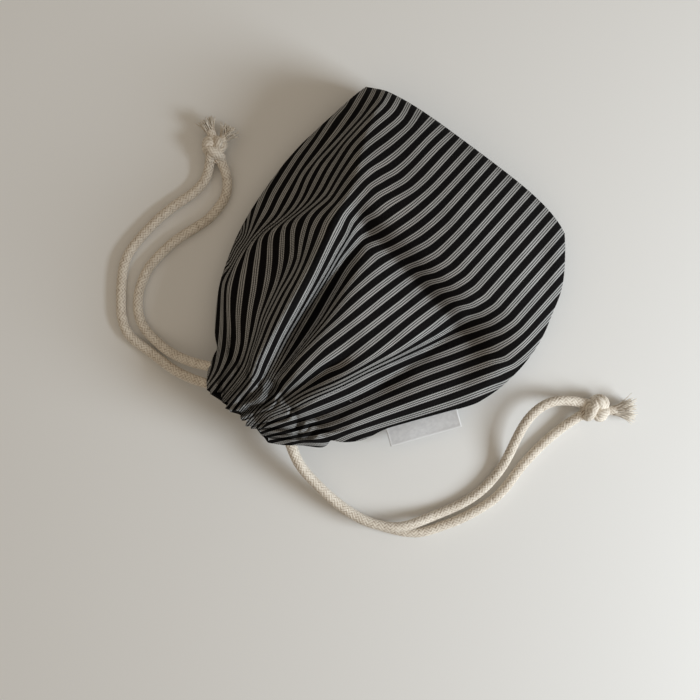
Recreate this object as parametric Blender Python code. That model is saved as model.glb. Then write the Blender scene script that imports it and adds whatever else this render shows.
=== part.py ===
"""A drawstring pouch of striped cotton, lying on its back with its mouth drawn shut.

Metres, +Z up. +X runs across the pouch, +Y runs from the drawn mouth to the folded
bottom edge. The origin is under the middle of the pouch, on the surface it lies on.

The pouch is one strip of cloth, folded at the bottom edge and sewn up both sides. Its
mouth end is turned over into a channel, which two cords draw shut. Each cord leaves the
channel at one side seam with both ends, and the ends are tied in one overhand knot.
"""

from collections import namedtuple

import bmesh
import bpy
import numpy as np
from mathutils import Matrix, Vector

MM = 0.001

# Driving sizes, in millimetres
WALL = 2.0
ACROSS = 36
ALONG = 30
SIDE_ROLL = 15.0
END_ROLL = 17.0
UNDER_ROLL = 17.0
CORD_RADIUS = 3.0
CORD_STEP = 14.0
ROUTE_SMOOTHING = 120
TUNNEL_X = -20.0
TUNNEL_Z = 25.5
TUNNEL_HALF_WIDTH = 8.5
TUNNEL_HALF_HEIGHT = 5.0
TUNNEL_STARTS_AT_Y = -14.0
TUNNEL_NARROW_AT_Y = -38.0
LABEL_THICK = 1.0
LABEL_WIDE = 11.5
LABEL_HEIGHT = 11.0
MIDDLE = (-10.34, 34.51)

# The cloth from the bottom edge to the mouth, a row for each section, in millimetres.
# left_x to right_y: where the section meets the two side seams, in plan.
# bow: how far its middle lies towards the bottom edge from the straight line.
# seam_z: height of both seams. ridge_x and ridge_z: the crest between the steep left
# flank and the top. left_z, flank_z, middle_z, right_z: heights of the upper sheet, before
# it rolls over into the seams. under_z: height of the lower sheet.
Section = namedtuple(
    "Section",
    "left_x left_y right_x right_y bow seam_z ridge_x left_z flank_z ridge_z middle_z right_z under_z",
)
SECTIONS = (
    Section(-95.0, 122.0, 49.0, 134.5, 7.5, 14.0, -82.0, 26.0, 33.0, 39.0, 39.0, 27.0, 0.0),
    Section(-96.5, 115.0, 55.5, 126.0, 6.0, 14.0, -80.0, 24.0, 34.0, 43.0, 43.0, 27.0, 0.0),
    Section(-98.0, 105.0, 63.5, 113.0, 4.0, 13.0, -76.0, 22.0, 34.0, 47.0, 47.0, 28.0, 0.0),
    Section(-99.5, 93.0, 72.0, 98.0, 2.0, 12.0, -71.0, 20.0, 34.0, 50.0, 50.0, 28.0, 0.0),
    Section(-101.0, 80.0, 78.0, 82.0, 0.5, 11.0, -63.0, 18.0, 33.0, 53.0, 52.0, 28.0, 0.0),
    Section(-102.0, 69.0, 80.0, 69.0, 0.0, 10.0, -58.0, 18.0, 32.0, 54.0, 49.0, 26.0, 0.0),
    Section(-102.0, 59.0, 80.5, 58.0, 0.0, 10.0, -54.0, 17.0, 31.0, 55.0, 45.5, 24.0, 0.0),
    Section(-101.0, 44.0, 80.0, 44.0, 0.0, 10.0, -51.0, 17.0, 31.0, 56.0, 45.5, 22.0, 0.0),
    Section(-99.0, 27.0, 77.0, 28.0, 0.0, 10.0, -48.0, 17.0, 31.0, 56.0, 46.5, 21.0, 0.0),
    Section(-95.0, 8.0, 66.0, 9.0, 0.0, 10.0, -44.0, 18.0, 31.0, 55.0, 47.0, 22.0, 0.0),
    Section(-90.0, -6.0, 56.0, -6.0, 0.0, 11.0, -41.0, 19.0, 32.0, 53.0, 47.0, 23.0, 0.0),
    Section(-84.0, -20.0, 47.0, -20.0, 0.0, 12.0, -37.0, 20.0, 33.0, 51.0, 46.0, 24.0, 0.0),
    Section(-76.0, -32.0, 40.5, -32.0, 0.0, 15.0, -34.0, 22.0, 34.0, 49.0, 45.0, 26.0, 1.0),
    Section(-67.0, -43.0, 31.5, -42.5, 0.0, 18.0, -31.0, 24.0, 35.0, 47.0, 44.0, 28.0, 5.0),
    Section(-59.0, -51.0, 25.5, -49.0, 0.0, 21.0, -29.0, 26.0, 36.0, 45.0, 43.0, 29.0, 9.0),
    Section(-54.0, -58.0, 20.0, -56.0, 0.0, 23.0, -28.0, 27.0, 36.0, 43.0, 41.0, 30.0, 12.0),
    Section(-50.5, -64.5, 10.5, -63.5, 0.0, 25.0, -26.0, 28.0, 36.0, 42.0, 40.0, 30.0, 14.0),
    Section(-46.5, -69.5, 1.5, -68.5, 0.0, 26.0, -24.0, 29.0, 35.0, 40.0, 38.0, 30.0, 15.0),
)

# The main folds of the upper sheet, a row each, in millimetres. A fold runs from its start
# past its middle to its end, rises by its heights there (below nought it is a trough), and
# falls off over its widths on its left and right as seen along it.
Fold = namedtuple("Fold", "start middle end height_1 height_2 height_3 left_wide right_wide")
FOLDS = {
    "trough over the top": Fold((-45, 64), (0, 62), (44, 59), -3.5, -4.5, -3.5, 8.0, 5.0),
    "trough to the right seam": Fold((44, 59), (60, 56), (76, 52), -3.0, -2.5, -1.5, 9.0, 9.0),
    "crest of the flank": Fold((-60, 75), (-45, 22), (-34, -40), 1.5, 4.0, 4.5, 5.0, 6.0),
    "valley beside the crest": Fold((-38, 56), (-31, 5), (-22, -45), -3.0, -9.0, -6.0, 5.0, 4.0),
    "pocket": Fold((2, -2), (-2, -18), (-9, -42), -1.0, -7.0, -5.0, 3.0, 3.5),
    "crest right of the pocket": Fold((12, 10), (8, -18), (-1, -45), 0.5, 2.5, 3.0, 4.0, 5.0),
    "right valley": Fold((39, 56), (28, 5), (12, -42), -2.5, -5.0, -6.0, 5.0, 5.0),
    "crest along the right seam": Fold((54, 20), (41, -8), (22, -42), 1.0, 3.0, 3.0, 6.0, 6.0),
    "flank crease": Fold((-62, 70), (-77, 40), (-82, -12), -2.0, -4.0, -1.5, 6.0, 6.0),
    "pinch under the left corner": Fold((-85, 117), (-86, 95), (-88, 70), -1.5, -2.5, -1.0, 4.0, 4.0),
    "dip at the right corner": Fold((28, 127), (52, 108), (68, 88), -1.5, -3.5, -1.5, 10.0, 9.0),
    "bump above the seam": Fold((44, -14), (37, -22), (30, -30), 0.5, 2.0, 0.5, 4.0, 4.0),
}

# Gathers of the channel: where across the mouth each crest lies (0 left, 1 right) and how
# high it stands, in millimetres.
Gather = namedtuple("Gather", "across height")
GATHERS = (
    Gather(0.10, 3.2),
    Gather(0.21, 4.4),
    Gather(0.33, 3.4),
    Gather(0.44, 4.6),
    Gather(0.55, 3.6),
    Gather(0.67, 4.8),
    Gather(0.79, 3.8),
    Gather(0.90, 4.2),
)
GATHER_WIDE = 0.034
GATHER_STARTS_AT_Y = -22.0
GATHER_FULL_AT_Y = -52.0

# The cords' free ends, from the channel to the knot, in millimetres.
CORD_ROUTES = {
    "left_cord_outer": (
        (-47.8, -68.6, 20.2), (-58, -73.6, 16), (-73, -78, 9), (-89.5, -79.7, 3.6), (-103.6, -81, 3),
        (-114, -76.5, 3), (-122.7, -67.5, 3), (-131, -57.3, 3), (-137, -46, 3), (-138.3, -34.4, 3),
        (-137.7, -18, 3), (-135.2, -3, 3), (-132, 9, 3), (-131.4, 17.5, 3.4), (-133.4, 24, 4.6),
        (-136.2, 28.4, 5.8),
    ),
    "left_cord_inner": (
        (-53.6, -60.2, 21.8), (-63, -65.5, 17.5), (-73, -69.6, 12), (-85, -72.2, 6.5), (-97, -72.2, 3.6),
        (-107, -68.8, 3), (-114.4, -62, 3), (-119.8, -52.5, 3), (-123, -40, 3), (-122, -23, 3),
        (-118, -8, 3), (-114.8, 5, 3), (-115.4, 17, 3), (-120, 26, 3.6), (-126.4, 31, 5),
        (-131.8, 33.7, 6),
    ),
    "right_cord_upper": (
        (11.8, -64.6, 21.8), (20, -69, 20), (29, -71, 17.5), (39.5, -72, 15), (50, -72.8, 12.5),
        (61, -72.3, 10.5), (73, -70, 9.8), (83, -65.4, 9.7), (91.5, -59, 9.7), (97, -51, 8),
        (102, -42, 4.8), (108.5, -29.7, 3.2), (113, -17.7, 3), (114.8, -6, 3), (114.5, 5, 3.5),
        (112, 15.5, 6), (108, 27, 9.5), (105.4, 40, 11), (106.4, 50, 11.5), (111.4, 58.6, 11),
        (118, 64.2, 9.5), (123, 67, 8.4),
    ),
    "right_cord_lower": (
        (9.6, -63.2, 14.8), (19.3, -68.9, 13), (28.4, -71.4, 10.7), (39, -72.6, 8.3), (50, -73.2, 6),
        (61, -72.8, 4.2), (73.3, -70.6, 3.2), (83.8, -66.2, 3), (94.5, -61, 3), (103.5, -54.3, 3),
        (109.8, -44, 3), (116.5, -31.4, 3), (121, -19, 3), (123.8, -8, 3), (124, 2, 3),
        (122.6, 13.5, 3), (122.8, 27, 3), (124, 40, 3), (126, 52, 4), (128.6, 61.6, 5.6),
    ),
}

# The knots and the frayed ends on them: middle, half sizes, and for a tuft its root, the
# direction in plan that it points in, its length and its width at the tip, in millimetres.
Knot = namedtuple("Knot", "middle half_size turned_deg")
KNOTS = {
    "left_knot": Knot((-139.4, 36.5, 7.4), (9.0, 7.8, 7.2), 38.0),
    "right_knot": Knot((132.2, 70.6, 7.8), (9.6, 8.2, 7.6), 42.0),
}
Tuft = namedtuple("Tuft", "root points_deg rises_deg length tip_wide")
TUFTS = {
    "left_fray_upper": Tuft((-146.9, 42.2, 8.0), 158.0, 8.0, 9.0, 10.0),
    "left_fray_lower": Tuft((-138.8, 44.6, 8.0), 96.0, 8.0, 9.0, 11.0),
    "right_fray": Tuft((141.0, 76.6, 8.0), 44.0, 0.0, 13.0, 15.0),
}
TUFT_LOCKS = 9
LABEL_SEWN_EDGE = ((47.2, -20.4), (71.7, 16.9))


def eased(table_at, table, wanted):
    """A smooth curve through a short table, without overshoot, read at the wanted places."""
    table_at = np.asarray(table_at, float)
    table = np.asarray(table, float)
    step = np.diff(table_at)
    slope = np.diff(table) / step
    inner = np.where(slope[:-1] * slope[1:] > 0, 2 * slope[:-1] * slope[1:], 0.0)
    total = slope[:-1] + slope[1:]
    inner = np.divide(inner, total, out=np.zeros_like(inner), where=total != 0)
    tangent = np.concatenate([slope[:1], inner, slope[-1:]])
    wanted = np.clip(np.asarray(wanted, float), table_at[0], table_at[-1])
    cell = np.clip(np.searchsorted(table_at, wanted, side="right") - 1, 0, len(step) - 1)
    t = (wanted - table_at[cell]) / step[cell]
    return (
        (2 * t**3 - 3 * t**2 + 1) * table[cell]
        + (t**3 - 2 * t**2 + t) * step[cell] * tangent[cell]
        + (3 * t**2 - 2 * t**3) * table[cell + 1]
        + (t**3 - t**2) * step[cell] * tangent[cell + 1]
    )


def smooth_route(route, step):
    """Points about a step apart on a smooth curve through a route's own points."""
    route = np.asarray(route, float)
    run = np.concatenate([[0.0], np.cumsum(np.linalg.norm(np.diff(route, axis=0), axis=1))])
    fine = np.linspace(0.0, run[-1], 400)
    curve = np.column_stack([eased(run, route[:, axis], fine) for axis in range(3)])
    for _ in range(ROUTE_SMOOTHING):
        curve[1:-1] = (curve[:-2] + 2 * curve[1:-1] + curve[2:]) / 4
    along = np.concatenate([[0.0], np.cumsum(np.linalg.norm(np.diff(curve, axis=0), axis=1))])
    stops = np.linspace(0.0, along[-1], int(round(along[-1] / step)) + 1)
    return np.column_stack([np.interp(stops, along, curve[:, axis]) for axis in range(3)])


def ramp(value, start, end):
    """0 before the start, 1 past the end, and an easy rise between."""
    t = np.clip((value - start) / (end - start), 0.0, 1.0)
    return t * t * (3 - 2 * t)


def rolled(inward, radius):
    """How far a sheet has risen, 0 to 1, at a distance in from the edge it rolls over."""
    t = np.clip(inward / radius, 0.0, 1.0)
    return np.sqrt(np.clip(1 - (1 - t) ** 2.4, 0.0, 1.0))


def fold_height(fold, x, y):
    """The rise of one fold over the plan places x and y."""
    knots = np.array([fold.start, fold.middle, fold.end], float)
    at = np.linspace(0.0, 2.0, 33)
    path = np.column_stack([eased((0, 1, 2), knots[:, axis], at) for axis in range(2)])
    rise = eased((0, 1, 2), (fold.height_1, fold.height_2, fold.height_3), at)
    ahead = np.gradient(path, axis=0)
    ahead /= np.linalg.norm(ahead, axis=1)[:, None]
    away_x = x[..., None] - path[:, 0]
    away_y = y[..., None] - path[:, 1]
    nearest = np.argmin(away_x**2 + away_y**2, axis=-1)
    away_x = np.take_along_axis(away_x, nearest[..., None], -1)[..., 0]
    away_y = np.take_along_axis(away_y, nearest[..., None], -1)[..., 0]
    left = ahead[nearest, 0] * away_y - ahead[nearest, 1] * away_x > 0
    wide = np.where(left, fold.left_wide, fold.right_wide)
    share = np.hypot(away_x, away_y) / wide
    return rise[nearest] * np.exp(-(share**1.8))


def gathered(across, y):
    """The rise of the gathers towards the mouth, at places across it and along the pouch."""
    total = np.zeros_like(across)
    for gather in GATHERS:
        total += gather.height * np.exp(-(((across - gather.across) / GATHER_WIDE) ** 2))
    return total * ramp(-y, -GATHER_STARTS_AT_Y, -GATHER_FULL_AT_Y)


class Cloth:
    """The two sheets of the pouch over a grid, inset from the outer face by a thickness."""

    def __init__(self, across, along, inset):
        rows = np.arange(len(SECTIONS), dtype=float)
        # Rows lie closer together at the bottom edge, where the cloth rolls over.
        first = 0.0 if inset == 0 else 0.22
        share = np.linspace(0.0, 1.0, along + 1)
        reading = first + (rows[-1] - first) * (0.82 * share + 0.18 * share**2)
        column = {
            name: eased(rows, [getattr(row, name) for row in SECTIONS], reading)[:, None]
            for name in Section._fields
        }
        spread = np.linspace(0.0, 1.0, across + 1)[None, :]
        # Columns lie closer together at the side seams.
        spread = 0.7 * spread + 0.3 * (1 - np.cos(np.pi * spread)) / 2
        self.across = np.broadcast_to(spread, (along + 1, across + 1)).copy()
        left_x = column["left_x"] + inset
        right_x = column["right_x"] - inset
        self.x = left_x + (right_x - left_x) * spread
        straight = column["left_y"] + (column["right_y"] - column["left_y"]) * spread
        self.y = straight + column["bow"] * (1 - (2 * spread - 1) ** 4)
        self.seam_z = np.broadcast_to(column["seam_z"], self.x.shape)
        self.column = column
        self.inset = inset
        from_side = np.minimum(self.x - left_x, right_x - self.x)
        end_y = self.y[0][None, :]
        from_end = np.maximum(end_y - self.y, 0.0)
        self.rise = rolled(from_side, SIDE_ROLL) * rolled(from_end, END_ROLL)
        self.under = rolled(from_side, UNDER_ROLL) * rolled(from_end, UNDER_ROLL)

    def profile(self):
        """Heights of the upper sheet before folds and before it rolls over into the seams."""
        high = np.empty_like(self.x)
        for row in range(len(high)):
            at = {name: float(values[row, 0]) for name, values in self.column.items()}
            right = at["right_x"]
            places = (
                at["left_x"],
                (at["left_x"] + at["ridge_x"]) / 2,
                at["ridge_x"],
                at["ridge_x"] + (right - at["ridge_x"]) * 0.42,
                at["ridge_x"] + (right - at["ridge_x"]) * 0.74,
                right,
            )
            heights = (
                at["left_z"],
                at["flank_z"],
                at["ridge_z"],
                at["middle_z"],
                at["middle_z"] * 0.62 + at["right_z"] * 0.38,
                at["right_z"],
            )
            high[row] = eased(places, heights, self.x[row])
        return high

    def upper(self):
        """Heights of the upper sheet."""
        high = self.profile()
        for fold in FOLDS.values():
            high = high + fold_height(fold, self.x, self.y)
        if self.inset == 0:
            high = high + gathered(self.across, self.y)
        high = high - self.inset
        return self.seam_z + (high - self.seam_z) * self.rise

    def lower(self):
        """Heights of the lower sheet, flat where it lies on the surface."""
        low = self.column["under_z"] + self.inset
        if self.inset == 0:
            low = low - 0.5 * gathered(1 - self.across, self.y)
        low = self.seam_z + (low - self.seam_z) * self.under
        return np.maximum(low, self.inset)


def narrowed(cloth, upper, lower):
    """The inner face drawn in to the small way out through the gathered mouth."""
    share = ramp(-cloth.y, -TUNNEL_STARTS_AT_Y, -TUNNEL_NARROW_AT_Y)
    turn = np.pi * (1 - cloth.across)
    x = cloth.x * (1 - share) + (TUNNEL_X + TUNNEL_HALF_WIDTH * np.cos(turn)) * share
    lift = TUNNEL_HALF_HEIGHT * np.sin(turn)
    up = upper * (1 - share) + (TUNNEL_Z + lift) * share
    down = lower * (1 - share) + (TUNNEL_Z - lift) * share
    return x, up, down


def add_sheets(bm, x, y, upper, lower):
    """Adds one closed-ended face of the pouch and returns the ring of points at its mouth."""

    def place(i, j, z):
        return bm.verts.new((x[i, j], y[i, j], z[i, j]))

    rows, columns = x.shape
    top = [[place(i, j, upper) for j in range(columns)] for i in range(rows)]
    bottom = [[None] * columns for _ in range(rows)]
    for i in range(rows):
        for j in range(columns):
            shared = i == 0 or j in (0, columns - 1)
            bottom[i][j] = top[i][j] if shared else place(i, j, lower)
    for i in range(rows - 1):
        for j in range(columns - 1):
            bm.faces.new((top[i][j], top[i + 1][j], top[i + 1][j + 1], top[i][j + 1]))
            bm.faces.new((bottom[i][j], bottom[i][j + 1], bottom[i + 1][j + 1], bottom[i + 1][j]))
    return top[-1] + bottom[-1][-2:0:-1]


def add_object(name, bm, material):
    """Makes a named object of a bmesh in millimetres, with its faces turned outwards."""
    bm.normal_update()
    bmesh.ops.recalc_face_normals(bm, faces=bm.faces)
    bmesh.ops.triangulate(bm, faces=bm.faces)
    bm.transform(Matrix.Scale(MM, 4) @ Matrix.Translation((-MIDDLE[0], -MIDDLE[1], 0.0)))
    mesh = bpy.data.meshes.new(name)
    bm.to_mesh(mesh)
    bm.free()
    mesh.shade_smooth()
    mesh.materials.append(material)
    made = bpy.data.objects.new(name, mesh)
    bpy.context.scene.collection.objects.link(made)
    return made


def make_material(name, colour, roughness):
    """A plain surface of one colour."""
    material = bpy.data.materials.new(name)
    material.use_nodes = True
    surface = material.node_tree.nodes["Principled BSDF"]
    surface.inputs["Base Color"].default_value = (*colour, 1.0)
    surface.inputs["Roughness"].default_value = roughness
    surface.inputs["Metallic"].default_value = 0.0
    return material


def make_pouch(material):
    """The cloth of the pouch: outer face, inner face, and the edge of the mouth."""
    bm = bmesh.new()
    outside = Cloth(ACROSS, ALONG, 0.0)
    outer_ring = add_sheets(bm, outside.x, outside.y, outside.upper(), outside.lower())
    inside = Cloth(ACROSS, ALONG, WALL)
    x, upper, lower = narrowed(inside, inside.upper(), inside.lower())
    inner_ring = add_sheets(bm, x, inside.y, upper, lower)
    count = len(outer_ring)
    for k in range(count):
        following = (k + 1) % count
        bm.faces.new(
            (outer_ring[k], outer_ring[following], inner_ring[following], inner_ring[k])
        )
    return add_object("pouch_cloth", bm, material)


def make_label(material):
    """The woven label, sewn by one long edge into the right side seam."""
    start = Vector((*LABEL_SEWN_EDGE[0], LABEL_HEIGHT))
    end = Vector((*LABEL_SEWN_EDGE[1], LABEL_HEIGHT))
    along = (end - start).normalized()
    outward = Vector((along.y, -along.x, 0.0))
    middle = (start + end) / 2 + outward * LABEL_WIDE / 2
    bm = bmesh.new()
    bmesh.ops.create_cube(bm, size=1.0)
    turn = Matrix((along, outward, Vector((0.0, 0.0, -1.0)))).transposed().to_4x4()
    size = Matrix.Diagonal(((end - start).length, LABEL_WIDE, LABEL_THICK, 1.0))
    bm.transform(Matrix.Translation(middle) @ turn @ size)
    return add_object("side_label", bm, material)


def make_cord(name, route, material):
    """One free stretch of cord, a round tube along its route."""
    points = smooth_route(route, CORD_STEP) - np.array([*MIDDLE, 0.0])
    curve = bpy.data.curves.new(name, "CURVE")
    curve.dimensions = "3D"
    curve.bevel_depth = CORD_RADIUS * MM
    curve.bevel_resolution = 2
    curve.use_fill_caps = True
    spline = curve.splines.new("POLY")
    spline.points.add(len(points) - 1)
    for point, at in zip(spline.points, points):
        point.co = (*(at * MM), 1.0)
    curve.materials.append(material)
    made = bpy.data.objects.new(name, curve)
    bpy.context.scene.collection.objects.link(made)
    return made


def make_knot(name, knot, material):
    """The outer form of an overhand knot of two cords: a lump with turns around it."""
    bm = bmesh.new()
    bmesh.ops.create_uvsphere(bm, u_segments=18, v_segments=9, radius=1.0)
    for vert in bm.verts:
        turn = np.arctan2(vert.co.y, vert.co.x)
        wrap = 0.07 * np.cos(3 * turn + 4.0 * vert.co.z) * (1 - vert.co.z**2)
        vert.co *= 1 + wrap
    turned = Matrix.Rotation(np.radians(knot.turned_deg), 4, "Z")
    bm.transform(Matrix.Translation(knot.middle) @ turned @ Matrix.Diagonal((*knot.half_size, 1.0)))
    return add_object(name, bm, material)


def make_tuft(name, tuft, material):
    """The frayed end of a cord: a short stub that parts into pointed locks."""
    bm = bmesh.new()
    sides = 2 * TUFT_LOCKS
    tip = tuft.tip_wide / 2
    # A row for each ring along the tuft: share of the length at a lock's tip, the same
    # between locks, and the radius, in millimetres.
    rings = (
        (0.0, 0.0, 2.6),
        (0.35, 0.35, 3.4),
        (1.0, 0.62, tip),
        (0.5, 0.5, tip * 0.45),
    )
    made = []
    for at_tip, between, radius in rings:
        ring = []
        for k in range(sides):
            turn = 2 * np.pi * k / sides
            along = (at_tip if k % 2 == 0 else between) * tuft.length
            swell = radius * (1.0 if k % 2 == 0 or at_tip < 1.0 else 0.8)
            flat = swell * 0.8 * np.sin(turn)
            ring.append(bm.verts.new((along, swell * np.cos(turn), flat)))
        made.append(ring)
    for first, second in zip(made, made[1:]):
        for k in range(sides):
            following = (k + 1) % sides
            bm.faces.new((first[k], first[following], second[following], second[k]))
    bm.faces.new(made[0])
    bm.faces.new(made[-1])
    points = Matrix.Rotation(np.radians(tuft.points_deg), 4, "Z")
    rises = Matrix.Rotation(-np.radians(tuft.rises_deg), 4, "Y")
    bm.transform(Matrix.Translation(tuft.root) @ points @ rises)
    return add_object(name, bm, material)


def main():
    for old in list(bpy.data.objects):
        bpy.data.objects.remove(old, do_unlink=True)
    striped_cotton = make_material("striped cotton", (0.055, 0.053, 0.052), 0.9)
    ecru_cotton = make_material("ecru cotton cord", (0.80, 0.71, 0.58), 0.85)
    grey_satin = make_material("grey satin label", (0.62, 0.62, 0.63), 0.55)
    make_pouch(striped_cotton)
    make_label(grey_satin)
    for name, route in CORD_ROUTES.items():
        make_cord(name, route, ecru_cotton)
    for name, knot in KNOTS.items():
        make_knot(name, knot, ecru_cotton)
    for name, tuft in TUFTS.items():
        make_tuft(name, tuft, ecru_cotton)


if __name__ == "__main__":
    main()
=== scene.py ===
"""The looks of a drawstring pouch of striped cotton, lying on its back on a table.

Metres, +Z up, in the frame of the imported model: +X across the pouch, +Y from the drawn
mouth to the folded bottom edge. Tables of sizes are in millimetres from the point that the
camera looks down on, as in the model's own source, and to_frame turns them into the frame.
"""

import logging
import math
from collections import namedtuple
from dataclasses import dataclass
from enum import Enum

import bpy
import numpy as np
from mathutils import Matrix, Vector


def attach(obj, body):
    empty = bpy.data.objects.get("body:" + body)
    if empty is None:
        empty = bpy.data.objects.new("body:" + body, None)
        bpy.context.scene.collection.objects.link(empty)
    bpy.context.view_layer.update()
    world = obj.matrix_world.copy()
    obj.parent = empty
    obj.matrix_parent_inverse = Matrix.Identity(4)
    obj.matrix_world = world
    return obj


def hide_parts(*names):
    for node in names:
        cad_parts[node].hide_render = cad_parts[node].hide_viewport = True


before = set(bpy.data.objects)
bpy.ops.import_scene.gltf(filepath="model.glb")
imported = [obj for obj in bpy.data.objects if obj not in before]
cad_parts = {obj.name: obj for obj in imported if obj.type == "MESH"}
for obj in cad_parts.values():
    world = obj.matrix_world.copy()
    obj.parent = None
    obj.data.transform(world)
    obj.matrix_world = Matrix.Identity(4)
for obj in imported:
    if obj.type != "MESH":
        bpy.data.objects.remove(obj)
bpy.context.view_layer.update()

LOG = logging.getLogger("pouch")
MM = 0.001
TINY = 1e-6
# Where the frame's origin lies in the tables' millimetres.
MIDDLE = (-10.34, 34.51)
CAMERA_HEIGHT = 600.0
STRIPE_REPEAT = 6.9
# The weave's place half way between two light bands, in repeats.
BETWEEN_STRIPES = 0.5

# The cloth from the bottom edge to the mouth, a row for each section, in millimetres: its
# two side seams in plan, its bow towards the bottom edge, the height of the seams, where
# the crest between the steep left flank and the top runs, and the heights of both sheets.
Section = namedtuple(
    "Section",
    "left_x left_y right_x right_y bow seam_z ridge_x left_z flank_z ridge_z middle_z right_z under_z",
)
SECTIONS = (
    Section(-95.0, 122.0, 49.0, 134.5, 7.5, 14.0, -82.0, 26.0, 33.0, 39.0, 39.0, 27.0, 0.0),
    Section(-96.5, 115.0, 55.5, 126.0, 6.0, 14.0, -80.0, 24.0, 34.0, 43.0, 43.0, 27.0, 0.0),
    Section(-98.0, 105.0, 63.5, 113.0, 4.0, 13.0, -76.0, 22.0, 34.0, 47.0, 47.0, 28.0, 0.0),
    Section(-99.5, 93.0, 72.0, 98.0, 2.0, 12.0, -71.0, 20.0, 34.0, 50.0, 50.0, 28.0, 0.0),
    Section(-101.0, 80.0, 78.0, 82.0, 0.5, 11.0, -63.0, 18.0, 33.0, 53.0, 52.0, 28.0, 0.0),
    Section(-102.0, 69.0, 80.0, 69.0, 0.0, 10.0, -58.0, 18.0, 32.0, 54.0, 49.0, 26.0, 0.0),
    Section(-102.0, 59.0, 80.5, 58.0, 0.0, 10.0, -54.0, 17.0, 31.0, 55.0, 45.5, 24.0, 0.0),
    Section(-101.0, 44.0, 80.0, 44.0, 0.0, 10.0, -51.0, 17.0, 31.0, 56.0, 45.5, 22.0, 0.0),
    Section(-99.0, 27.0, 77.0, 28.0, 0.0, 10.0, -48.0, 17.0, 31.0, 56.0, 46.5, 21.0, 0.0),
    Section(-95.0, 8.0, 66.0, 9.0, 0.0, 10.0, -44.0, 18.0, 31.0, 55.0, 47.0, 22.0, 0.0),
    Section(-90.0, -6.0, 56.0, -6.0, 0.0, 11.0, -41.0, 19.0, 32.0, 53.0, 47.0, 23.0, 0.0),
    Section(-84.0, -20.0, 47.0, -20.0, 0.0, 12.0, -37.0, 20.0, 33.0, 51.0, 46.0, 24.0, 0.0),
    Section(-76.0, -32.0, 40.5, -32.0, 0.0, 15.0, -34.0, 22.0, 34.0, 49.0, 45.0, 26.0, 1.0),
    Section(-67.0, -43.0, 31.5, -42.5, 0.0, 18.0, -31.0, 24.0, 35.0, 47.0, 44.0, 28.0, 5.0),
    Section(-59.0, -51.0, 25.5, -49.0, 0.0, 21.0, -29.0, 26.0, 36.0, 45.0, 43.0, 29.0, 9.0),
    Section(-54.0, -58.0, 20.0, -56.0, 0.0, 23.0, -28.0, 27.0, 36.0, 43.0, 41.0, 30.0, 12.0),
    Section(-50.5, -64.5, 10.5, -63.5, 0.0, 25.0, -26.0, 28.0, 36.0, 42.0, 40.0, 30.0, 14.0),
    Section(-46.5, -69.5, 1.5, -68.5, 0.0, 26.0, -24.0, 29.0, 35.0, 40.0, 38.0, 30.0, 15.0),
)

# The folds of the upper sheet, a row each. A fold runs from its start past its middle to
# its end, rises by its heights there (below nought it is a trough), and falls off over its
# widths on its left and right as seen along it. All are the model's own, apart from the
# trough over the top, which lies nearer the mouth here.
Fold = namedtuple("Fold", "start middle end height_1 height_2 height_3 left_wide right_wide")
FOLDS = {
    "trough over the top": Fold((-45, 57), (0, 54.5), (46, 52), -3.0, -3.5, -3.0, 8.0, 8.0),
    "trough to the right seam": Fold((44, 59), (60, 56), (76, 52), -3.0, -2.5, -1.5, 9.0, 9.0),
    "crest of the flank": Fold((-60, 75), (-45, 22), (-34, -40), 1.5, 4.0, 4.5, 5.0, 6.0),
    "valley beside the crest": Fold((-38, 56), (-31, 5), (-22, -45), -3.0, -9.0, -6.0, 5.0, 4.0),
    "pocket": Fold((2, -2), (-2, -18), (-9, -42), -1.0, -7.0, -5.0, 3.0, 3.5),
    "crest right of the pocket": Fold((12, 10), (8, -18), (-1, -45), 0.5, 2.5, 3.0, 4.0, 5.0),
    "right valley": Fold((39, 56), (28, 5), (12, -42), -2.5, -5.0, -6.0, 5.0, 5.0),
    "crest along the right seam": Fold((54, 20), (41, -8), (22, -42), 1.0, 3.0, 3.0, 6.0, 6.0),
    "flank crease": Fold((-62, 70), (-77, 40), (-82, -12), -2.0, -4.0, -1.5, 6.0, 6.0),
    "pinch under the left corner": Fold((-85, 117), (-86, 95), (-88, 70), -1.5, -2.5, -1.0, 4.0, 4.0),
    "dip at the right corner": Fold((28, 127), (52, 108), (68, 88), -1.5, -3.5, -1.5, 10.0, 9.0),
    "bump above the seam": Fold((44, -14), (37, -22), (30, -30), 0.5, 2.0, 0.5, 4.0, 4.0),
}

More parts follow.
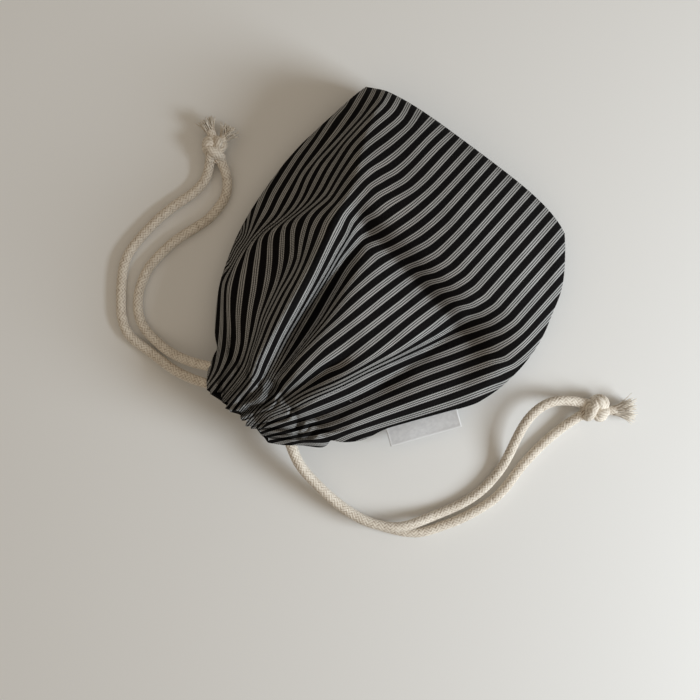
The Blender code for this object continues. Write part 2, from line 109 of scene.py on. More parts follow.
# Creases that only the scene's cloth has, added to the folds: six that deepen the top, the
# valleys and the flank, a crest inside the right seam, and round the channel its stitch
# line, its puff beyond the stitches and the dip where its gathers meet.
CREASES = {
    "foot of the top panel": Fold((-42, 56), (2, 52), (50, 48.5), -7.5, -11.0, -10.0, 6.5, 24.0),
    "floor of the valley": Fold((-36, 48), (-32.5, 5), (-29.5, -34), -4.5, -11.0, -7.0, 11.0, 4.0),
    "slope to the right valley": Fold((41, 56), (35, 32), (28, 2), -5.0, -12.5, -6.0, 25.0, 7.0),
    "crest inside the right seam": Fold((72, 60), (72, 36), (62, 12), 1.5, 4.5, 1.5, 6.0, 16.0),
    "side of the right valley": Fold((31, 20), (25, -4), (16, -30), -2.0, -5.5, -3.0, 12.0, 5.0),
    "hollow under the crest": Fold((-60, 26), (-54, -2), (-46, -30), -2.0, -4.0, -3.0, 5.0, 9.0),
    "hollow of the flank": Fold((-68, 50), (-71, 10), (-62, -32), -2.0, -6.5, -4.0, 12.0, 12.0),
    "stitch line on the left": Fold((-55, -47), (-26, -41.5), (-2, -46), -1.6, -2.4, -2.0, 1.6, 1.6),
    "stitch line on the right": Fold((-2, -46), (5, -50), (12, -59), -2.0, -2.6, -2.2, 1.6, 1.6),
    "puff of the channel": Fold((-46, -55), (-18, -54), (8, -59), 2.2, 1.5, 2.8, 5.0, 5.0),
    "dip where the gathers meet": Fold((-25, -59), (-19, -62), (-13, -65), -2.0, -4.0, -3.0, 4.0, 4.0),
}

# How far each side of the cloth stands out past its seam's line: which side (-1 left,
# 1 right), at what y it is most, how far out, and its half width along the seam.
Bulge = namedtuple("Bulge", "side y out wide")
BULGES = (
    Bulge(1, 111.0, 3.2, 14.0),
    Bulge(1, 62.0, 2.2, 30.0),
    Bulge(1, -38.0, 2.0, 9.0),
    Bulge(1, -46.5, -2.2, 2.2),
    Bulge(1, -52.5, 2.4, 4.0),
    Bulge(-1, -50.0, -1.4, 2.5),
    Bulge(-1, -60.0, 1.8, 6.0),
)

# Gathers of the channel: where across the mouth each crest lies (0 left, 1 right), how
# high it stands in millimetres, and its half width across the mouth. The pleats are the
# sharp valleys between them, and there the height is a depth.
Gather = namedtuple("Gather", "across height wide")
PLEATS = (
    Gather(0.14, 5.0, 0.022),
    Gather(0.22, 7.5, 0.026),
    Gather(0.31, 8.5, 0.024),
    Gather(0.41, 7.0, 0.022),
    Gather(0.50, 9.0, 0.024),
    Gather(0.56, 6.5, 0.020),
    Gather(0.67, 9.0, 0.026),
    Gather(0.77, 7.5, 0.024),
    Gather(0.825, 5.0, 0.018),
    Gather(0.88, 7.5, 0.022),
)
PLEATS_START_AT_Y = -26.0
PLEATS_FULL_AT_Y = -50.0
GATHERS = (
    Gather(0.10, 3.2, 0.034),
    Gather(0.21, 4.4, 0.034),
    Gather(0.33, 3.4, 0.034),
    Gather(0.44, 4.6, 0.034),
    Gather(0.55, 3.6, 0.034),
    Gather(0.67, 4.8, 0.034),
    Gather(0.79, 3.8, 0.034),
    Gather(0.90, 4.2, 0.034),
)
GATHER_STARTS_AT_Y = -22.0
GATHER_FULL_AT_Y = -52.0

# Where the light bands of the cloth run, as the camera sees them: for each numbered stripe
# the places x, y that it passes, from the bottom edge to the mouth. Stripes up to
# SHARP_STRIPES turn sharply at the crease of the left flank, each at its own height, and
# ROUNDED_TURN rounds that turn: a stripe's course is a mean of readings so many
# millimetres along it, each with its share.
STRIPE_GUIDES = {
    -3: ((-109, 140), (-104, 100), (-101.7, 80), (-101, 66), (-98.5, 50), (-96.7, 40), (-93.5, 30),
         (-91.5, 20), (-89.5, 10), (-88.5, 0), (-86, -10), (-84, -20), (-76, -30), (-67.5, -40),
         (-60, -50), (-53, -62), (-50, -76)),
    -2: ((-108, 140), (-99.5, 108), (-100.3, 100), (-97.4, 80), (-95.8, 66), (-93.1, 50), (-91, 40),
         (-87.9, 30), (-87.9, 20), (-88.2, 10), (-87, 0), (-85.4, -8), (-80, -20), (-71.5, -30),
         (-61.5, -40), (-54, -50), (-49.5, -62)),
    -1: ((-104, 140), (-97.5, 125), (-94.6, 110), (-92.5, 95), (-91.7, 76), (-91.4, 60), (-88.1, 50),
         (-85.6, 40), (-84.2, 30), (-86.5, 20), (-87.2, 10), (-86.6, 5), (-83.3, 0), (-77.5, -10),
         (-70.5, -20), (-63.5, -30), (-53.5, -40), (-48, -50), (-47, -62), (-46, -76)),
    0: ((-98, 140), (-91.5, 125), (-88.5, 110), (-88.6, 90), (-89.4, 72), (-87, 60), (-83.1, 50),
        (-81.4, 40), (-82.9, 30), (-85.5, 20), (-86.2, 14), (-82, 10), (-75.5, 0), (-68, -10),
        (-62, -20), (-55, -30), (-48, -40), (-44, -50), (-43, -62), (-42, -76)),
    1: ((-91, 140), (-86, 125), (-85.7, 110), (-86.2, 90), (-85, 72), (-82, 60), (-79.3, 50),
        (-79.4, 40), (-81.6, 30), (-83.2, 22), (-81, 19), (-73, 10), (-65.5, 0), (-60, -10),
        (-55.5, -20), (-50, -30), (-45.5, -40), (-41, -50), (-40, -62), (-39.5, -76)),
    2: ((-86.5, 140), (-82.2, 125), (-83.3, 110), (-83.6, 90), (-80.5, 72), (-77.4, 60), (-76.3, 50),
        (-77.9, 40), (-80.4, 30), (-72, 20), (-64, 10), (-59, 0), (-56, -10), (-53, -20), (-48, -30),
        (-43.5, -40), (-39, -50), (-38, -62)),
    3: ((-80, 140), (-76, 125), (-78.5, 110), (-79.5, 95), (-77.4, 80), (-75, 68), (-73, 60),
        (-74.1, 50), (-77, 37), (-73, 30), (-63.5, 20), (-59.3, 10), (-56.7, 0), (-54, -10), (-51, -20),
        (-46.5, -30), (-42.7, -40), (-38, -50), (-37, -62)),
    4: ((-73, 140), (-69, 125), (-71.7, 110), (-73.9, 100), (-74.6, 90), (-73, 76), (-70, 60),
        (-71.9, 50), (-72.4, 44), (-65.5, 30), (-58.7, 20), (-56, 10), (-54.5, 0), (-52, -10),
        (-49.5, -20), (-45.5, -30), (-42, -40), (-37, -50), (-36, -62)),
    5: ((-65, 140), (-62, 125), (-64, 110), (-66.3, 100), (-68.7, 86), (-68, 72), (-66.4, 60),
        (-67.4, 50), (-65.6, 40), (-60.3, 30), (-56.3, 20), (-53.3, 10), (-51.3, 0), (-48.6, -10),
        (-45.6, -20), (-42, -30), (-38.6, -40), (-34.5, -50), (-34, -62)),
    6: ((-54.5, 140), (-55.5, 125), (-56.7, 110), (-58.5, 100), (-62, 88), (-63, 76), (-63, 60),
        (-62.2, 50), (-58.7, 40), (-55.5, 30), (-52.5, 20), (-47.5, 0), (-41.8, -20), (-35.5, -40),
        (-32, -50), (-31, -62), (-30, -76)),
    7: ((-47, 140), (-48.5, 125), (-49, 110), (-50.3, 100), (-53.5, 90), (-56, 80), (-56, 62),
        (-53.5, 50), (-48, 30), (-45, 20), (-40, 0), (-35.7, -20), (-30, -40), (-27.5, -50),
        (-27.5, -62), (-26.5, -76)),
    8: ((-40, 140), (-41.5, 125), (-42.8, 100), (-45.6, 90), (-49, 80), (-50.2, 70), (-50, 60),
        (-47, 50), (-45.2, 40), (-42.8, 30), (-40.8, 20), (-37, 0), (-33.2, -20), (-28, -40),
        (-26, -50), (-26, -62), (-25.5, -76)),
    9: ((-33.5, 140), (-34, 110), (-35, 100), (-41, 80), (-42.5, 72), (-45.2, 64), (-45.3, 56),
        (-43, 40), (-41, 30), (-39, 20), (-35.3, 0), (-31.2, -20), (-26.5, -40), (-24.5, -50),
        (-24.5, -62)),
    10: ((-26, 140), (-27, 110), (-29.5, 90), (-33, 74), (-36, 64), (-39.7, 54), (-40, 42), (-37.3, 20),
         (-33.5, 0), (-29.3, -20), (-25, -40), (-23.3, -50), (-23.5, -62)),
    11: ((-19, 140), (-20, 105), (-21.5, 90), (-25, 74), (-28, 64), (-33.8, 51), (-33.5, 40), (-30, 20),
         (-26, 0), (-23.9, -20), (-23, -40), (-21.7, -50), (-22.5, -62)),
    13: ((-5, 140), (-5, 100), (-7, 82), (-11, 70), (-15, 60), (-18, 50), (-20.5, 38), (-22.5, 20),
         (-22, 0), (-21.9, -20), (-22, -40), (-19.5, -50), (-20.5, -62)),
    14: ((3, 140), (2, 95), (1, 80), (-2, 70), (-7, 60), (-10, 50), (-14, 30), (-17, 10), (-19.8, -10),
         (-21, -25), (-20.5, -40), (-18, -50), (-19, -62), (-18.5, -76)),
    15: ((10, 140), (10, 100), (9, 80), (6, 70), (0, 60), (-4.5, 40), (-8, 20), (-12, 0), (-14, -12),
         (-15, -40), (-14.5, -50), (-17, -62), (-17, -76)),
    16: ((18, 140), (17, 82), (14, 70), (8, 60), (4, 40), (0, 20), (-4, 0), (-8.5, -20), (-11, -40),
         (-12, -50), (-15.5, -62)),
    17: ((25, 140), (24.5, 82), (22, 71), (16, 60), (11.5, 40), (6.5, 12), (2, -10), (-2.8, -20),
         (-7.5, -40), (-10, -50), (-14, -62), (-15, -76)),
    18: ((32.5, 140), (32, 80), (29.5, 70), (24, 60), (19, 40), (14, 10), (8, -10), (-5, -40),
         (-8, -50), (-12.8, -62)),
    19: ((40, 140), (40, 80), (37.5, 70), (31.5, 60), (27.5, 40), (22.5, 20), (15, 0), (7, -20),
         (-2.6, -40), (-6, -50), (-11.5, -62), (-14, -76)),
    20: ((48, 140), (48, 80), (45.5, 70), (40, 60), (33.5, 40), (25.6, 20), (17, 0), (9, -20),
         (-0.5, -40), (-4.3, -50), (-10, -62)),
    21: ((55, 140), (55, 80), (53, 70), (48, 60), (42, 50), (33, 30), (19.2, 0), (11, -20), (2, -40),
         (-2, -50), (-8, -61), (-13, -76)),
    22: ((63, 140), (63, 80), (61, 70), (56, 60), (46, 40), (35, 20), (26.5, 0), (18.5, -20),
         (8.5, -40), (3, -50), (-3, -60), (-11, -76)),
    24: ((77, 140), (76, 78), (74, 60), (68, 50), (57, 30), (46, 10), (31, -20), (21, -40), (14, -50),
         (6, -62), (-5, -76)),
    26: ((91, 140), (88, 70), (84, 50), (79, 40), (68.5, 20), (56.7, 0), (44.5, -20), (34, -38),
         (28, -50), (15, -62), (6, -76)),
}
SHARP_STRIPES = 5
ROUNDED_TURN = ((-4.0, 0.25), (0.0, 0.5), (4.0, 0.25))

# The cords' free ends, from the channel to the knot, in millimetres.
CORD_ROUTES = {
    "left_cord_outer": (
        (-47.8, -68.6, 20.2), (-58, -73.6, 16), (-73, -78, 9), (-89.5, -79.7, 3.6), (-103.6, -81, 3),
        (-114, -76.5, 3), (-122.7, -67.5, 3), (-131, -57.3, 3), (-137, -46, 3), (-138.3, -34.4, 3),
        (-137.7, -18, 3), (-135.2, -3, 3), (-132, 9, 3), (-131.4, 17.5, 3.4), (-133.4, 24, 4.6),
        (-136.2, 28.4, 5.8),
    ),
    "left_cord_inner": (
        (-53.6, -60.2, 21.8), (-63, -65.5, 17.5), (-73, -69.6, 12), (-85, -72.2, 6.5), (-97, -72.2, 3.6),
        (-107, -68.8, 3), (-114.4, -62, 3), (-119.8, -52.5, 3), (-123, -40, 3), (-122, -23, 3),
        (-118, -8, 3), (-114.8, 5, 3), (-115.4, 17, 3), (-120, 26, 3.6), (-126.4, 31, 5),
        (-131.8, 33.7, 6),
    ),
    "right_cord_upper": (
        (11.8, -64.6, 21.8), (20, -69, 20), (29, -71, 17.5), (39.5, -72, 15), (50, -72.8, 12.5),
        (61, -72.3, 10.5), (73, -70, 9.8), (83, -65.4, 9.7), (91.5, -59, 9.7), (97, -51, 8),
        (102, -42, 4.8), (108.5, -29.7, 3.2), (113, -17.7, 3), (114.8, -6, 3), (114.5, 5, 3.5),
        (112, 15.5, 6), (108, 27, 9.5), (105.4, 40, 11), (106.4, 50, 11.5), (111.4, 58.6, 11),
        (118, 64.2, 9.5), (123, 67, 8.4),
    ),
    "right_cord_lower": (
        (9.6, -63.2, 14.8), (19.3, -68.9, 13), (28.4, -71.4, 10.7), (39, -72.6, 8.3), (50, -73.2, 6),
        (61, -72.8, 4.2), (73.3, -70.6, 3.2), (83.8, -66.2, 3), (94.5, -61, 3), (103.5, -54.3, 3),
        (109.8, -44, 3), (116.5, -31.4, 3), (121, -19, 3), (123.8, -8, 3), (124, 2, 3),
        (122.6, 13.5, 3), (122.8, 27, 3), (124, 40, 3), (126, 52, 4), (128.6, 61.6, 5.6),
    ),
}
ROUTE_POINTS = 400
ROUTE_SMOOTHING = 120

# A braid's strands pass over two and under two. In shares of its radius, how far its
# grooves stand out and how much more its crowns do, and in shares of a crown, how high it
# is where it dips under and how much more between.
OVER_AND_UNDER = 4
GROOVE_REACH = 0.8
CROWN_REACH = 0.22
CROWN_DIPPED = 0.8
CROWN_RISE = 0.2
# How much painted shade the flat cut ends of a braid take, 0 to 1.
CUT_END_SHADE = 0.5


def to_frame(points: np.ndarray) -> np.ndarray:
    """Turns points in the tables' millimetres into metres in the frame.

    Args:
        points: rows of x, y and z.

    Returns:
        The same rows in the frame.
    """
    return (np.asarray(points, float) - np.array([*MIDDLE, 0.0])) * MM


def eased(table_at: np.ndarray, table: np.ndarray, wanted: np.ndarray) -> np.ndarray:
    """Reads a smooth curve through a short table, without overshoot.

    Args:
        table_at: the table's places, rising.
        table: its values.
        wanted: the places to read.

    Returns:
        The values at the wanted places.
    """
    table_at = np.asarray(table_at, float)
    table = np.asarray(table, float)
    step = np.diff(table_at)
    slope = np.diff(table) / step
    inner = np.where(slope[:-1] * slope[1:] > 0, 2 * slope[:-1] * slope[1:], 0.0)
    total = slope[:-1] + slope[1:]
    inner = np.divide(inner, total, out=np.zeros_like(inner), where=total != 0)
    tangent = np.concatenate([slope[:1], inner, slope[-1:]])
    wanted = np.clip(np.asarray(wanted, float), table_at[0], table_at[-1])
    cell = np.clip(np.searchsorted(table_at, wanted, side="right") - 1, 0, len(step) - 1)
    t = (wanted - table_at[cell]) / step[cell]
    return (
        (2 * t**3 - 3 * t**2 + 1) * table[cell]
        + (t**3 - 2 * t**2 + t) * step[cell] * tangent[cell]
        + (3 * t**2 - 2 * t**3) * table[cell + 1]
        + (t**3 - t**2) * step[cell] * tangent[cell + 1]
    )


def ramp(value: np.ndarray, start: float, end: float) -> np.ndarray:
    """0 before the start, 1 past the end, and an easy rise between.

    Args:
        value: the places to read.
        start: where the rise starts.
        end: where it ends.

    Returns:
        The share of the rise, 0 to 1.
    """
    t = np.clip((value - start) / (end - start), 0.0, 1.0)
    return t * t * (3 - 2 * t)


def smooth_route(route: np.ndarray, step: float) -> np.ndarray:
    """Lays points evenly on a smooth curve through a route's own points.

    Args:
        route: the route's points.
        step: about how far apart the new points lie.

    Returns:
        The new points, from end to end.
    """
    route = np.asarray(route, float)
    run = np.concatenate([[0.0], np.cumsum(np.linalg.norm(np.diff(route, axis=0), axis=1))])
    fine = np.linspace(0.0, run[-1], ROUTE_POINTS)
    curve = np.column_stack([eased(run, route[:, axis], fine) for axis in range(3)])
    for _ in range(ROUTE_SMOOTHING):
        curve[1:-1] = (curve[:-2] + 2 * curve[1:-1] + curve[2:]) / 4
    return evenly(curve, step)


def evenly(curve: np.ndarray, step: float) -> np.ndarray:
    """Lays points at even distances along a line of points.

    Args:
        curve: the line's points.
        step: about how far apart the new points lie.

    Returns:
        The new points, from end to end.
    """
    along = np.concatenate([[0.0], np.cumsum(np.linalg.norm(np.diff(curve, axis=0), axis=1))])
    stops = np.linspace(0.0, along[-1], int(round(along[-1] / step)) + 1)
    return np.column_stack([np.interp(stops, along, curve[:, axis]) for axis in range(3)])


def new_piece(name: str, points: np.ndarray, faces: list, material: bpy.types.Material) -> bpy.types.Object:
    """Makes an object at the origin from points in the frame.

    Args:
        name: the piece's name.
        points: its corners, in metres.
        faces: its faces, as rows of corner numbers.
        material: its finish.

    Returns:
        The new object, shaded smooth.
    """
    mesh = bpy.data.meshes.new(name)
    mesh.from_pydata(np.asarray(points).tolist(), [], faces)
    mesh.shade_smooth()
    mesh.materials.append(material)
    made = bpy.data.objects.new(name, mesh)
    bpy.context.scene.collection.objects.link(made)
    return made


class Nodes:
    """The nodes of one material, added one after another."""

    def __init__(self, name: str) -> None:
        """Starts a material with its surface.

        Args:
            name: the material's name.
        """
        self.material = bpy.data.materials.new(name)
        self.material.use_nodes = True
        self.tree = self.material.node_tree
        self.surface = self.tree.nodes["Principled BSDF"]

    def add(self, kind: str, inputs: dict | None = None, **settings: object) -> bpy.types.Node:
        """Adds a node.

        Args:
            kind: the node's type.
            inputs: what each input socket is linked to or set to.
            settings: the node's own settings.

        Returns:
            The new node.
        """
        node = self.tree.nodes.new(kind)
        for key, value in settings.items():
            setattr(node, key, value)
        for key, value in (inputs or {}).items():
            self.put(node.inputs[key], value)
        return node

    def put(self, socket: bpy.types.NodeSocket, value: object) -> None:
        """Links a socket to another, or sets its value.

        Args:
            socket: the input socket.
            value: an output socket, a number or a colour.
        """
        if isinstance(value, bpy.types.NodeSocket):
            self.tree.links.new(value, socket)
        else:
            socket.default_value = value

    def finished(self, inputs: dict) -> bpy.types.Material:
        """Gives the surface its inputs.

        Args:
            inputs: what each input of the surface is linked to or set to.

        Returns:
            The finished material.
        """
        for key, value in inputs.items():
            self.put(self.surface.inputs[key], value)
        return self.material

    def math(self, operation: str, *values: object) -> bpy.types.NodeSocket:
        """Does one sum.

        Args:
            operation: the Math node's operation.
            values: sockets or numbers.

        Returns:
            The sum's socket.
        """
        return self.add("ShaderNodeMath", dict(enumerate(values)), operation=operation).outputs[0]

    def wave(self, value: object, pace: float) -> bpy.types.NodeSocket:
        """A sine wave along a value, which gains so many radians for each one of it."""
        return self.math("SINE", self.math("MULTIPLY", value, pace))

    def rise(
        self, value: object, start: float, end: float, low: float = 0.0, high: float = 1.0
    ) -> bpy.types.NodeSocket:
        """Turns a range of one value into a soft range of another.

        Args:
            value: the socket to read.
            start: where the range starts.
            end: where it ends.
            low: what it gives before the start.
            high: what it gives past the end.

        Returns:
            The new value's socket.
        """
        inputs = {"Value": value, "From Min": start, "From Max": end, "To Min": low, "To Max": high}
        return self.add("ShaderNodeMapRange", inputs, interpolation_type="SMOOTHSTEP").outputs[0]

    def blend(self, share: object, first: object, second: object) -> bpy.types.NodeSocket:
        """Mixes two colours.

        Args:
            share: how much of the second.
            first: a socket or a colour.
            second: a socket or a colour.

        Returns:
            The mixed colour's socket.
        """
        node = self.add("ShaderNodeMix", data_type="RGBA")
        for key, value in (("Factor_Float", share), ("A_Color", first), ("B_Color", second)):
            self.put(next(s for s in node.inputs if s.identifier == key), value)
        return next(s for s in node.outputs if s.identifier == "Result_Color")

    def noise(self, scale: float, detail: float) -> bpy.types.NodeSocket:
        """A soft random pattern on the object's own coordinates.

        Args:
            scale: how fine it is, in repeats a metre.
            detail: how much finer pattern it holds.

        Returns:
            The pattern's socket.
        """
        place = self.add("ShaderNodeTexCoord").outputs["Object"]
        inputs = {"Vector": place, "Scale": scale, "Detail": detail}
        return self.add("ShaderNodeTexNoise", inputs).outputs["Fac"]

    def relief(self, height: object, strength: float, distance: float) -> None:
        """Gives the surface a fine relief.

        Args:
            height: the height's socket.
            strength: how strongly it tells.
            distance: how high it is, in metres.
        """
        inputs = {"Height": height, "Strength": strength, "Distance": distance}
        self.put(self.surface.inputs["Normal"], self.add("ShaderNodeBump", inputs).outputs[0])


@dataclass(frozen=True)
class StripedCotton:
    """Black cotton with a band of three light lines in each repeat, in a coarse weave.

    The lines' sizes are in stripe repeats and the thread's in millimetres. The scales are in
    repeats a metre, and a light is the share of the light colour that it goes from and to.
    """

    black: tuple = (0.0048, 0.0043, 0.0045, 1.0)
    light: tuple = (0.50, 0.495, 0.485, 1.0)
    line_apart: float = 0.172
    line_half: float = 0.05
    thread: float = 0.95
    cross_pace: float = 1.3
    dash_shift: float = 2.6
    dash_light: tuple = (0.42, 1.0)
    between_light: tuple = (0.01, 0.13)
    fleck_light: tuple = (0.0, 0.03)
    cloud_light: tuple = (0.88, 1.06)
    speckle_scale: float = 1500.0
    cloud_scale: float = 70.0
    roughness: float = 0.95
    shine: float = 0.03
    relief_strength: float = 0.35
    relief_height: float = 0.0002

    def material(self) -> bpy.types.Material:
        """The cloth's finish, read from its own UV map in stripe repeats.

        Returns:
            The material.
        """
        nodes = Nodes("striped cotton")
        uv = nodes.add("ShaderNodeUVMap", uv_map="weave").outputs[0]
        parts = nodes.add("ShaderNodeSeparateXYZ", {0: uv})
        across, along = parts.outputs[0], parts.outputs[1]
        # Half a repeat centres each band, and the whole ones keep every place above nought.
        shifted = nodes.math("FRACT", nodes.math("ADD", across, 50.5))
        away = nodes.math("ABSOLUTE", nodes.math("SUBTRACT", shifted, 0.5))
        outer_line = nodes.math("ABSOLUTE", nodes.math("SUBTRACT", away, self.line_apart))
        to_line = nodes.math("MINIMUM", away, outer_line)
        line = nodes.rise(to_line, self.line_half * 0.45, self.line_half * 1.45, 1.0, 0.0)
        inside = self.line_apart + self.line_half
        band = nodes.rise(away, inside, inside + self.line_half, 1.0, 0.0)
        pace = 2 * math.pi * STRIPE_REPEAT / self.thread
        weave = nodes.math("MULTIPLY", nodes.wave(along, pace), nodes.wave(across, pace * self.cross_pace))
        line_number = nodes.math("ROUND", nodes.math("DIVIDE", shifted, self.line_apart))
        shift = nodes.math("MULTIPLY", line_number, self.dash_shift)
        beat = nodes.math("SINE", nodes.math("ADD", nodes.math("MULTIPLY", along, pace), shift))
        dash = nodes.rise(beat, -1.0, 0.4, *self.dash_light)
        speckle = nodes.noise(self.speckle_scale, 3.0)
        between = nodes.math("MULTIPLY", band, nodes.rise(weave, -0.6, 1.0, *self.between_light))
        grain = nodes.math("ADD", nodes.math("MULTIPLY", weave, 0.45), speckle)
        fleck = nodes.rise(grain, 0.5, 1.1, *self.fleck_light)
        lines = nodes.math("MULTIPLY", nodes.math("MULTIPLY", line, band), dash)
        lit = nodes.math("MAXIMUM", nodes.math("MAXIMUM", lines, between), fleck)
        cloudy = nodes.rise(nodes.noise(self.cloud_scale, 2.0), 0.3, 0.7, *self.cloud_light)
        lit = nodes.math("MULTIPLY", lit, cloudy)
        height = nodes.math("ADD", nodes.math("MULTIPLY", weave, 0.6), nodes.math("MULTIPLY", line, 0.5))
        nodes.relief(nodes.math("ADD", height, speckle), self.relief_strength, self.relief_height)
        colour = nodes.blend(lit, self.black, self.light)
        return nodes.finished(
            {"Base Color": colour, "Roughness": self.roughness, "Specular IOR Level": self.shine}
        )


@dataclass(frozen=True)
class EcruCotton:
    """Undyed cotton yarn, with painted shade that makes it darker and warmer in the grooves of the braid.
    """

    crown: tuple = (0.90, 0.84, 0.745, 1.0)
    # The second colour is painted shade: the dark warm colour of the braid's grooves and of the places
    # where a strand dips under.
    groove_shade: tuple = (0.26, 0.165, 0.09, 1.0)
    patch_scale: float = 320.0
    fibre_scale: float = 2600.0
    fibre_height: float = 0.0003
    roughness: float = 0.88
    sheen: float = 0.15
    sheen_roughness: float = 0.4
    shine: float = 0.2

    def material(self) -> bpy.types.Material:
        """The cord's finish, read from its attribute of painted shade and the object's coordinates.

        Returns:
            The material.
        """
        nodes = Nodes("ecru cotton cord")
        # Painted shade: the deeper in the braid's grooves, the more of the dark warm colour, and random
        # patches add more.
        shade_and_patches = nodes.add("ShaderNodeAttribute", attribute_name="groove_shade").outputs["Fac"]
        patches = nodes.rise(nodes.noise(self.patch_scale, 3.0), 0.35, 0.7, 0.0, 0.2)
        shade_and_patches = nodes.math("POWER", shade_and_patches, 1.3)
        shade_and_patches = nodes.math("MINIMUM", nodes.math("ADD", shade_and_patches, patches), 1.0)
        nodes.relief(nodes.noise(self.fibre_scale, 4.0), 0.6, self.fibre_height)
        return nodes.finished(
            {
                "Base Color": nodes.blend(shade_and_patches, self.crown, self.groove_shade),
                "Roughness": self.roughness,
                "Sheen Weight": self.sheen,
                "Sheen Roughness": self.sheen_roughness,
                "Specular IOR Level": self.shine,
            }
        )


@dataclass(frozen=True)
class GreySatin:
    """Pale grey satin ribbon, woven across, with a paler selvedge.

    The threads' sizes are in millimetres.
    """

    face: tuple = (0.60, 0.60, 0.615, 1.0)
    edge: tuple = (0.80, 0.80, 0.81, 1.0)
    rib: float = 0.7
    pick: float = 0.5
    mottle_scale: float = 420.0
    roughness: float = 0.42
    sheen: float = 0.2
    sheen_along: float = 0.3
    relief_height: float = 0.00015

    def material(self) -> bpy.types.Material:
        """The label's finish, read from its UV map in millimetres and its border attribute.

        Returns:
            The material.
        """
        nodes = Nodes("grey satin")
        uv = nodes.add("ShaderNodeUVMap", uv_map="weave").outputs[0]
        parts = nodes.add("ShaderNodeSeparateXYZ", {0: uv})
        ribs = nodes.wave(parts.outputs[0], 2 * math.pi / self.rib)
        picks = nodes.wave(parts.outputs[1], 2 * math.pi / self.pick)
        weave = nodes.math("ADD", nodes.math("MULTIPLY", ribs, 0.5), nodes.math("MULTIPLY", picks, 0.5))
        border = nodes.add("ShaderNodeAttribute", attribute_name="border").outputs["Fac"]
        mottled = nodes.rise(nodes.noise(self.mottle_scale, 3.0), 0.3, 0.7, 0.0, 0.35)
        share = nodes.math("MAXIMUM", border, mottled)
        nodes.relief(weave, 0.5, self.relief_height)
        return nodes.finished(
            {
                "Base Color": nodes.blend(share, self.face, self.edge),
                "Roughness": self.roughness,
                "Sheen Weight": self.sheen,
                "Anisotropic": self.sheen_along,
            }
        )


@dataclass(frozen=True)
class PaleTable:
    """A plain pale table top."""

    colour: tuple = (0.80, 0.795, 0.785, 1.0)
    roughness: float = 0.75
    shine: float = 0.2

    def material(self) -> bpy.types.Material:
        """The table's finish."""
        inputs = {"Base Color": self.colour, "Roughness": self.roughness, "Specular IOR Level": self.shine}
        return Nodes("pale table").finished(inputs)


@dataclass
class Studio:
    """The camera, the floor and the lights, with places in metres and power in watts."""

    lens: float = 51.43
    turned_deg: float = 41.39
    floor_size: float = 6.0
    light_from: tuple = (0.90, 0.36, 0.52)
    light_away: float = 1.05
    light_size: float = 0.42
    light_power: float = 9.6
    light_colour: tuple = (0.92, 1.0, 1.06)
    ceiling_height: float = 1.2
    ceiling_size: float = 2.4
    ceiling_power: float = 4.6
    ceiling_colour: tuple = (1.0, 0.867, 0.70)
    fill: tuple = (0.235, 0.204, 0.164)

    def camera(self) -> None:
        """Hangs the camera over the pouch, looking straight down."""
        data = bpy.data.cameras.new("camera")
        data.lens = self.lens
        made = bpy.data.objects.new("camera", data)
        made.location = to_frame((0.0, 0.0, CAMERA_HEIGHT))
        made.rotation_euler = (0.0, 0.0, math.radians(self.turned_deg))
        bpy.context.scene.collection.objects.link(made)
        bpy.context.scene.camera = made

    def floor(self) -> None:
        """Lays the pale floor under the pouch."""
        bpy.ops.mesh.primitive_plane_add(size=self.floor_size, location=(0.0, 0.0, 0.0))
        made = bpy.context.active_object
        made.name = "floor"
        made.data.materials.append(PaleTable().material())

    def area_light(self, name: str, size: float, power: float, colour: tuple, place: Vector) -> None:
        """Hangs a square light that faces the origin.

        Args:
            name: the light's name.
            size: its side, in metres.
            power: how strong it is, in watts.
            colour: its colour.
            place: where it hangs.
        """
        data = bpy.data.lights.new(name, "AREA")
        data.shape = "SQUARE"
        data.size = size
        data.energy = power
        data.color = colour
        made = bpy.data.objects.new(name, data)
        made.location = place
        made.rotation_euler = place.normalized().to_track_quat("Z", "Y").to_euler()
        bpy.context.scene.collection.objects.link(made)

    def lights(self) -> None:
        """Lights the pouch from its right as from a window, with a warm ceiling and a dim fill."""
        window_place = Vector(self.light_from).normalized() * self.light_away
        self.area_light("window", self.light_size, self.light_power, self.light_colour, window_place)
        overhead = Vector((0.0, 0.0, self.ceiling_height))
        self.area_light("ceiling", self.ceiling_size, self.ceiling_power, self.ceiling_colour, overhead)
        world = bpy.data.worlds.new("room light")
        world.use_nodes = True
        world.node_tree.nodes["Background"].inputs["Color"].default_value = (*self.fill, 1.0)
        bpy.context.scene.world = world
        bpy.context.scene.view_settings.view_transform = "Standard"

    def build(self) -> None:
        """Sets up all of it."""
        self.camera()
        self.floor()
        self.lights()


